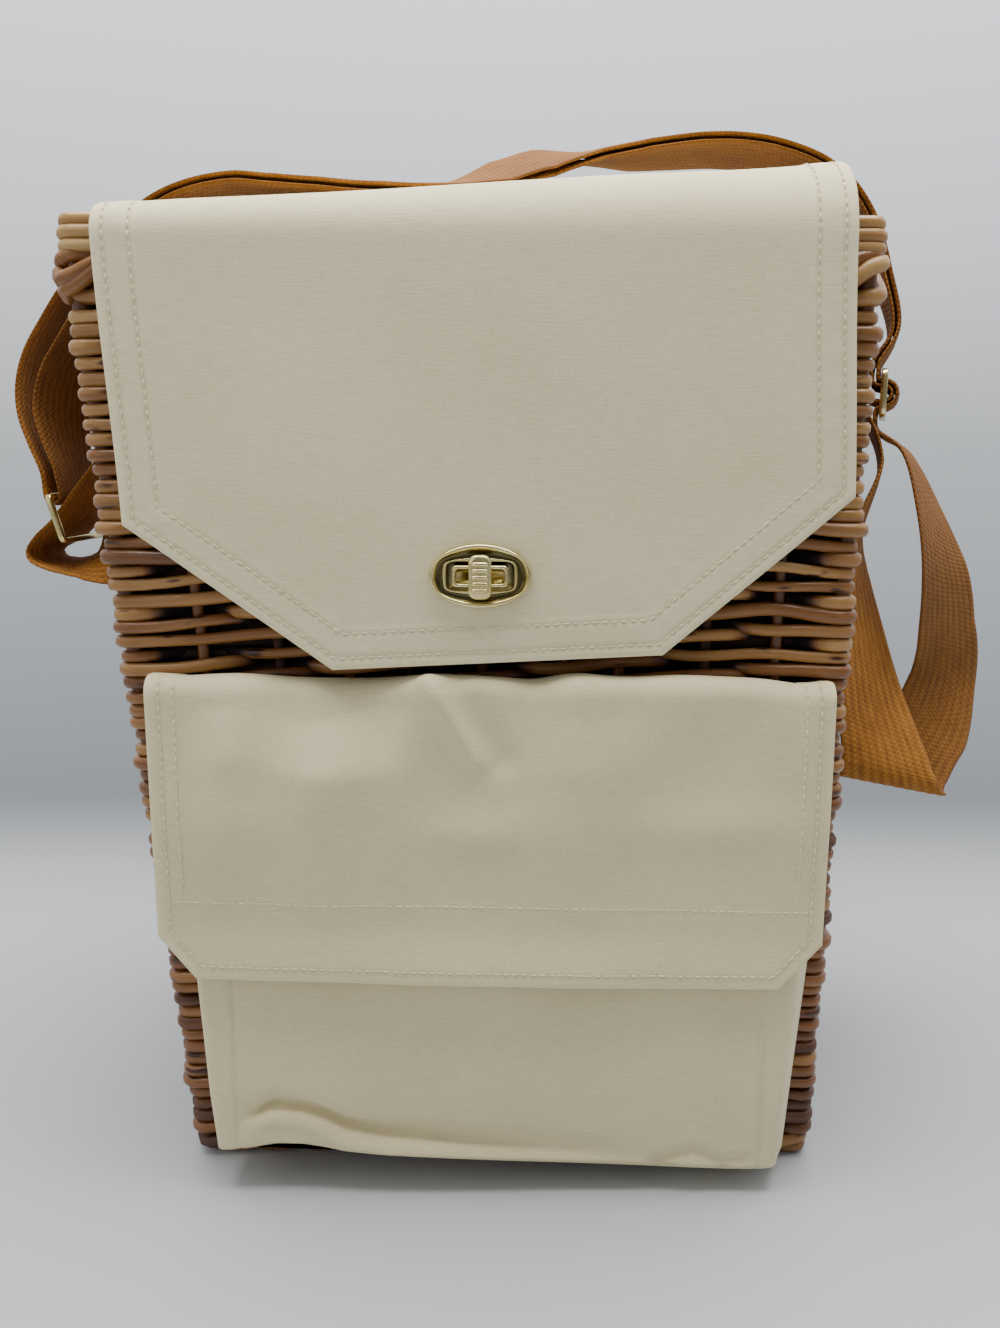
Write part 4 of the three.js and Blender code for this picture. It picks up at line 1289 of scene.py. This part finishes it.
def make_pocket_bag():
    """Open pocket of canvas, from the floor's outside up and down again to its inside."""
    heights = [np.linspace(low, high, steps, endpoint=False) for low, high, steps in POCKET_LEVELS]
    heights = np.concatenate([*heights, [POCKET_LEVELS[-1][1]]])
    outer = np.array([pocket_row(z) for z in heights])
    middle = outer.mean(axis=1)[:, None]
    inner = outer + unit(middle - outer) * [0, 1, 0] * CANVAS
    inner[..., 0] = middle[..., 0] + (inner[..., 0] - middle[..., 0]) * (1 - CANVAS / POCKET_HALF)
    floor = np.array([outer[0] * [0.98, 0, 1] + [0, 1, 0] * outer[0].mean(0) + [0, 0, 0.5]])
    grid = np.concatenate([floor, outer, inner[POCKET_INSIDE:][::-1], floor + [0, 0, CANVAS + 3]])
    points, faces = closed_tubes([grid])
    row, column = POCKET_MEASURED
    flat = np.zeros(grid.shape)
    flat[..., 0] = path_lengths(outer[row])
    flat[..., 1] = path_lengths(grid[:, column])[:, None]
    # painted shade along the seams of the side hems
    tone = EDGE_LIGHT_SEAM_SHADE + EDGE_LIGHT_SEAM_SHADE * bell(pocket_edge(grid[..., 0] - POCKET_MIDDLE), POCKET_HEM, 0.9)
    piece = make_piece("pocket_bag_cloth", "canvas", POCKET_CANVAS, points, faces, "pocket_bag",
                       straight=flat, tone=tone)


# Webbing

def smooth_line(points, steps):
    """Smooth line through points with the given steps in each span, and the shares along each span."""
    spans = len(points) - 1
    before = np.vstack([2 * points[0] - points[1], points, 2 * points[-1] - points[-2]])
    line = []
    places = []
    for span in range(spans):
        p0, p1, p2, p3 = before[span:span + 4]
        gaps = [math.sqrt(max(np.linalg.norm(b - a), 1e-6)) for a, b in ((p0, p1), (p1, p2), (p2, p3))]
        first = (p1 - p0) / gaps[0] - (p2 - p0) / (gaps[0] + gaps[1]) + (p2 - p1) / gaps[1]
        second = (p2 - p1) / gaps[1] - (p3 - p1) / (gaps[1] + gaps[2]) + (p3 - p2) / gaps[2]
        first = first * gaps[1]
        second = second * gaps[1]
        last = span == spans - 1
        t = np.linspace(0, 1, steps[span] + 1)[:None if last else -1, None]
        line.append(p1 + first * t + (3 * (p2 - p1) - 2 * first - second) * t ** 2
                    + (2 * (p1 - p2) + first + second) * t ** 3)
        places.append(span + t[:, 0])
    return np.concatenate(line), np.concatenate(places)


def full_rows(route):
    return np.array([row + ROUTE_USUAL[len(row):] for row in route], dtype=float)


def stations(route, second_run=False):
    """Places and width directions of a route's rows."""
    rows = full_rows(route)
    turn = np.radians(rows[:, 3] + rows[:, 6] * second_run)
    rise = np.radians(rows[:, 4])
    width = np.column_stack([np.sin(turn) * np.cos(rise), np.cos(turn) * np.cos(rise), np.sin(rise)])
    return rows[:, :3], width


def inner_stations(route):
    """The second run, set in from the outer one, in the other direction."""
    at, width = stations(route)
    along = np.vstack([at[1] - at[0], at[2:] - at[:-2], at[-1] - at[-2]])
    inner = at + unit(np.cross(along, width)) * full_rows(route)[:, 5:6]
    _, twisted = stations(route, second_run=True)
    return inner[::-1], twisted[::-1]


def slider_stations(rows):
    """Round the slider's bars."""
    turn = math.radians(SLIDER_TURN)
    outward = np.array([math.cos(turn), -math.sin(turn), 0])
    rows = np.array(rows)
    at = np.array(SLIDER_PLACE) + rows[:, :1] * outward + rows[:, 1:] * UP
    return at, np.tile([math.sin(turn), math.cos(turn), 0], (len(rows), 1))


def ring_stations():
    """Round the upper bar of the ring, from its outer side under it to its inner side."""
    angle = np.radians([180, 225, 270, 315, 360])
    lean = math.radians(RING_LEAN)
    bar = np.array(RING_PLACE) + RING_BARS[1] * np.array([-math.sin(lean), 0, math.cos(lean)])
    at = bar + RING_WRAP * np.column_stack([np.cos(angle), np.zeros(len(angle)), np.sin(angle)])
    return at, np.tile([0.0, 1.0, 0.0], (len(angle), 1))


def webbing_section():
    """Ribbed cross section of the webbing, over its face and back under it."""
    v = np.linspace(-1, 1, 4 * STRAP_RIBS + 1)
    edge = np.sqrt(np.maximum(1 - np.abs(v) ** 16, 0.12))
    thick = STRAP_THICK / 2 * edge * (0.84 - 0.16 * np.cos(2 * math.pi * STRAP_RIBS * (v + 1) / 2))
    face = np.column_stack([v * STRAP_HALF, thick])
    return np.concatenate([face, face[::-1] * [1, -1]])


def make_webbing_piece(name, node, runs, fold=None):
    """Ribbed webbing along its runs, and its length. In a fold its cross lines stay slanted."""
    at = np.concatenate([run[0] for run in runs])
    width = np.concatenate([run[1] for run in runs])
    spans = np.linalg.norm(np.diff(at, axis=0), axis=1)
    line, places = smooth_line(at, np.maximum(np.ceil(spans / STRAP_STEP), 2).astype(int))
    span = np.minimum(places.astype(int), len(at) - 2)
    share = (places - span)[:, None]
    across = width[span] * (1 - share) + width[span + 1] * share
    along = unit(np.gradient(line, axis=0))
    ahead = np.sum(across * along, axis=1, keepdims=True)
    across = across - ahead * along
    slant = np.zeros_like(ahead)
    if fold:
        folded = smooth_step(*fold[:2], places) * fade(*fold[2:], places)
        slant = ahead / np.linalg.norm(across, axis=1, keepdims=True) * folded[:, None]
    across = unit(across)
    normal = np.cross(along, across)
    section = webbing_section()
    lengths = path_lengths(line)
    edge_wave = 1 + 0.012 * np.sin(lengths / 17) * np.sin(lengths / 41)
    sideways = section[:, :1] * edge_wave[:, None, None] * (across + along * slant)[:, None]
    grid = line[:, None] + sideways + section[:, 1:] * normal[:, None]
    points, faces = closed_tubes([grid])
    straight = np.zeros(grid.shape)
    straight[..., 0] = section[:, 0]
    straight[..., 1] = lengths[:, None] + section[:, 0] * slant
    straight[..., 2] = section[:, 1]
    piece = make_piece(name, "webbing", WEBBING, points, faces, node, straight=straight)
    return piece, lengths[-1]


def make_straps():
    runs = [
        stations(SLACK_ROUTE), slider_stations(SLIDER_THREAD), stations(OUTER_ROUTE), ring_stations(),
        inner_stations(OUTER_ROUTE), slider_stations(SLIDER_WRAP)]
    strap, length = make_webbing_piece("shoulder_strap_webbing", "shoulder_strap", runs, STRAP_FOLD)
    tab, length = make_webbing_piece("ring_tab_webbing", "ring_tab", [stations(TAB_ROUTE)])


# Brass

def lock_point(flat, y):
    """Points of the lock from places right and up of its middle, at a distance to the front."""
    return np.column_stack([LOCK_X + flat[:, 0], np.full(len(flat), -y), LOCK_Z + flat[:, 1]])


def lock_stack(half, radius, corner_steps, steps):
    """Rounded outlines of a part of the lock, from back to front."""
    return [lock_point(round_outline((half[0] - inset, half[1] - inset), radius, corner_steps), y)
            for inset, y in steps]


def filled_stack(outlines):
    """Points and faces of outlines from back to front, with the first and the last one filled."""
    points, faces = closed_tubes([np.array(outlines)])
    return points, [part[:, ::-1] for part in faces]


def make_lock_plate():
    angle = np.arange(LOCK_POINTS) / LOCK_POINTS * 2 * math.pi
    oval = np.column_stack([LOCK_OVAL[0] * np.cos(angle), LOCK_OVAL[1] * np.sin(angle)])
    heading = np.arctan2(oval[:, 1], oval[:, 0])
    direction = np.column_stack([np.cos(heading), np.sin(heading)])
    reach = np.sum((np.abs(direction) / LOCK_SLOT) ** SLOT_POWER, axis=1) ** (-1 / SLOT_POWER)
    slot = reach[:, None] * direction
    grid = np.array([lock_point(slot + (oval - slot) * share, y) for share, y in PLATE_PROFILE])
    points, quads = join_grids([grid], True, True)
    dark = [0.9 * (PLATE_DARK[0] < share < PLATE_DARK[1]) for share, _ in PLATE_PROFILE]
    make_piece("lock_plate_brass", "brass", BRASS, points, [quads[:, ::-1]], "lock_plate",
               tone=np.repeat(dark, LOCK_POINTS))


def make_lock_base():
    stack = lock_stack(LOCK_BASE_HALF, 3, 6, LOCK_BASE_STEPS)
    stack += lock_stack(POST_HALF, 1.4, 6, POST_STEPS)
    make_piece("lock_base_brass", "brass", BRASS, *filled_stack(stack), "lock_base")


def make_button():
    """The button with its ridges."""
    x = np.linspace(-RIDGE_HALF, RIDGE_HALF, 9)
    taper = np.sqrt(np.maximum(1 - (x / (RIDGE_HALF + 0.1)) ** 4, 0.05))
    section = circle(RIDGE_RADIUS, ROD_SIDES) * taper[:, None, None]
    ridges = []
    for place in BUTTON_RIDGES:
        path = lock_point(np.column_stack([x, np.full(len(x), place)]), BUTTON_FRONT)
        ridges.append(sweep(path, UP, section, False))
    button = filled_stack(lock_stack(BUTTON_HALF, 2.8, 10, BUTTON_STEPS))
    make_piece("turn_button_brass", "brass", BRASS, *merge(button, closed_tubes(ridges)), "turn_button",
               body="button")


def make_frame(name, node, place, turn, lean, bars, middle_bar):
    """Brass frame with round-edged bars that faces sideways, turned and leaning by degrees."""
    turn = math.radians(turn)
    lean = math.radians(lean)
    width = np.array([math.sin(turn), math.cos(turn), 0])
    level = np.array([math.cos(turn), -math.sin(turn), 0])
    up = UP * math.cos(lean) - level * math.sin(lean)
    facing = np.cross(width, up)
    outline = round_outline(bars, 2, 7)
    path = np.array(place) + outline[:, :1] * width + outline[:, 1:] * up
    section = round_outline((BAR / 2, BAR / 2), 0.7, 4)
    points, quads = join_grids([sweep(path, facing, section, True)], True, True)
    faces = [quads]
    if middle_bar:
        ends = np.linspace(-bars[0], bars[0], 12)[:, None]
        bar = sweep(np.array(place) + ends * width, facing, section, False)
        points, faces = merge((points, faces), closed_tubes([bar]))
    make_piece(name, "brass", BRASS, points, faces, node)


# Camera, floor and light

def make_camera():
    camera = bpy.data.cameras.new("camera")
    camera.sensor_width = SENSOR
    camera.lens = FOCAL_PIXELS / max(PHOTO_SIZE) * SENSOR
    camera.clip_start = 0.01
    holder = bpy.data.objects.new("camera", camera)
    holder.location = [value * MM for value in CAMERA_PLACE]
    level = Euler((math.radians(90 + CAMERA_PITCH), 0, math.radians(CAMERA_YAW))).to_quaternion()
    holder.rotation_mode = "QUATERNION"
    holder.rotation_quaternion = level @ Quaternion((0, 0, 1), math.radians(CAMERA_ROLL))
    bpy.context.scene.collection.objects.link(holder)
    bpy.context.scene.camera = holder


def make_floor():
    corners = np.array([(-1, -1, 0), (1, -1, 0), (1, 1, 0), (-1, 1, 0)]) * FLOOR_HALF
    shader = Shader("floor")
    reach = shader.parts(shader.place("Object"))["Y"]
    share = shader.spread(reach, [value * MM for value in FLOOR_FADE], (1.0, 0.0), "SMOOTHSTEP")
    material = shader.finish({"Base Color": colour("B9BCBE"), "Roughness": 0.6, "Alpha": share})
    floor = make_mesh("floor", material, corners, [np.array([[0, 1, 2, 3]])])


def add_light(name, place, aim, size, power):
    lamp = bpy.data.lights.new(name, "AREA")
    lamp.shape = "RECTANGLE"
    lamp.size, lamp.size_y = size
    lamp.energy = power
    lamp.color = LIGHT_TINT
    holder = bpy.data.objects.new(name, lamp)
    holder.location = place
    away = np.array(place) - np.array(aim)
    pan = math.atan2(away[0], -away[1])
    tilt = math.atan2(math.hypot(away[0], away[1]), away[2])
    holder.rotation_euler = (tilt, 0, pan)
    bpy.context.scene.collection.objects.link(holder)


def make_light():
    """A backdrop that is brighter behind the basket, and two soft lamps with places in metres."""
    world = bpy.data.worlds.new("studio")
    world.use_nodes = True
    nodes = Nodes(world.node_tree)
    parts = nodes.parts(nodes.place("Generated"))
    background = world.node_tree.nodes["Background"].inputs
    nodes.put(background["Color"], nodes.ramp(nodes.spread(parts["Z"], (-1, 1), (0, 1)), BACKDROP))
    nodes.put(background["Strength"], nodes.spread(parts["Y"], (-0.6, 0.3), (0.36, 1.5)))
    bpy.context.scene.world = world
    add_light("overhead", (0, -0.08, 0.9), (0, -0.02, 0.2), (0.9, 0.5), 13)
    add_light("front", (-1.0, -1.0, 0.7), (0, 0, 0.2), (1.2, 0.9), 3.2)


make_camera()
make_straps()
make_weave()
make_stakes()
make_border("rim_border_rods", "rim_border", *RIM_ROPE, inset=0, strand_count=6, turns=14, tone=0.5,
            straight_rods=RIM_RODS)
make_border("foot_border_rods", "foot_border", FOOT_HEIGHT / 2, FOOT_HEIGHT / 2, inset=FOOT_INSET,
            strand_count=4, turns=13, tone=0.4)
make_base()
make_lid()
make_pocket_bag()
make_pocket_flap()
make_lock_plate()
make_lock_base()
make_button()
make_frame("strap_ring_brass", "strap_ring", RING_PLACE, 0, RING_LEAN, RING_BARS, False)
make_frame("strap_slider_brass", "strap_slider", SLIDER_PLACE, SLIDER_TURN, 0, SLIDER_BARS, True)
make_floor()
make_light()
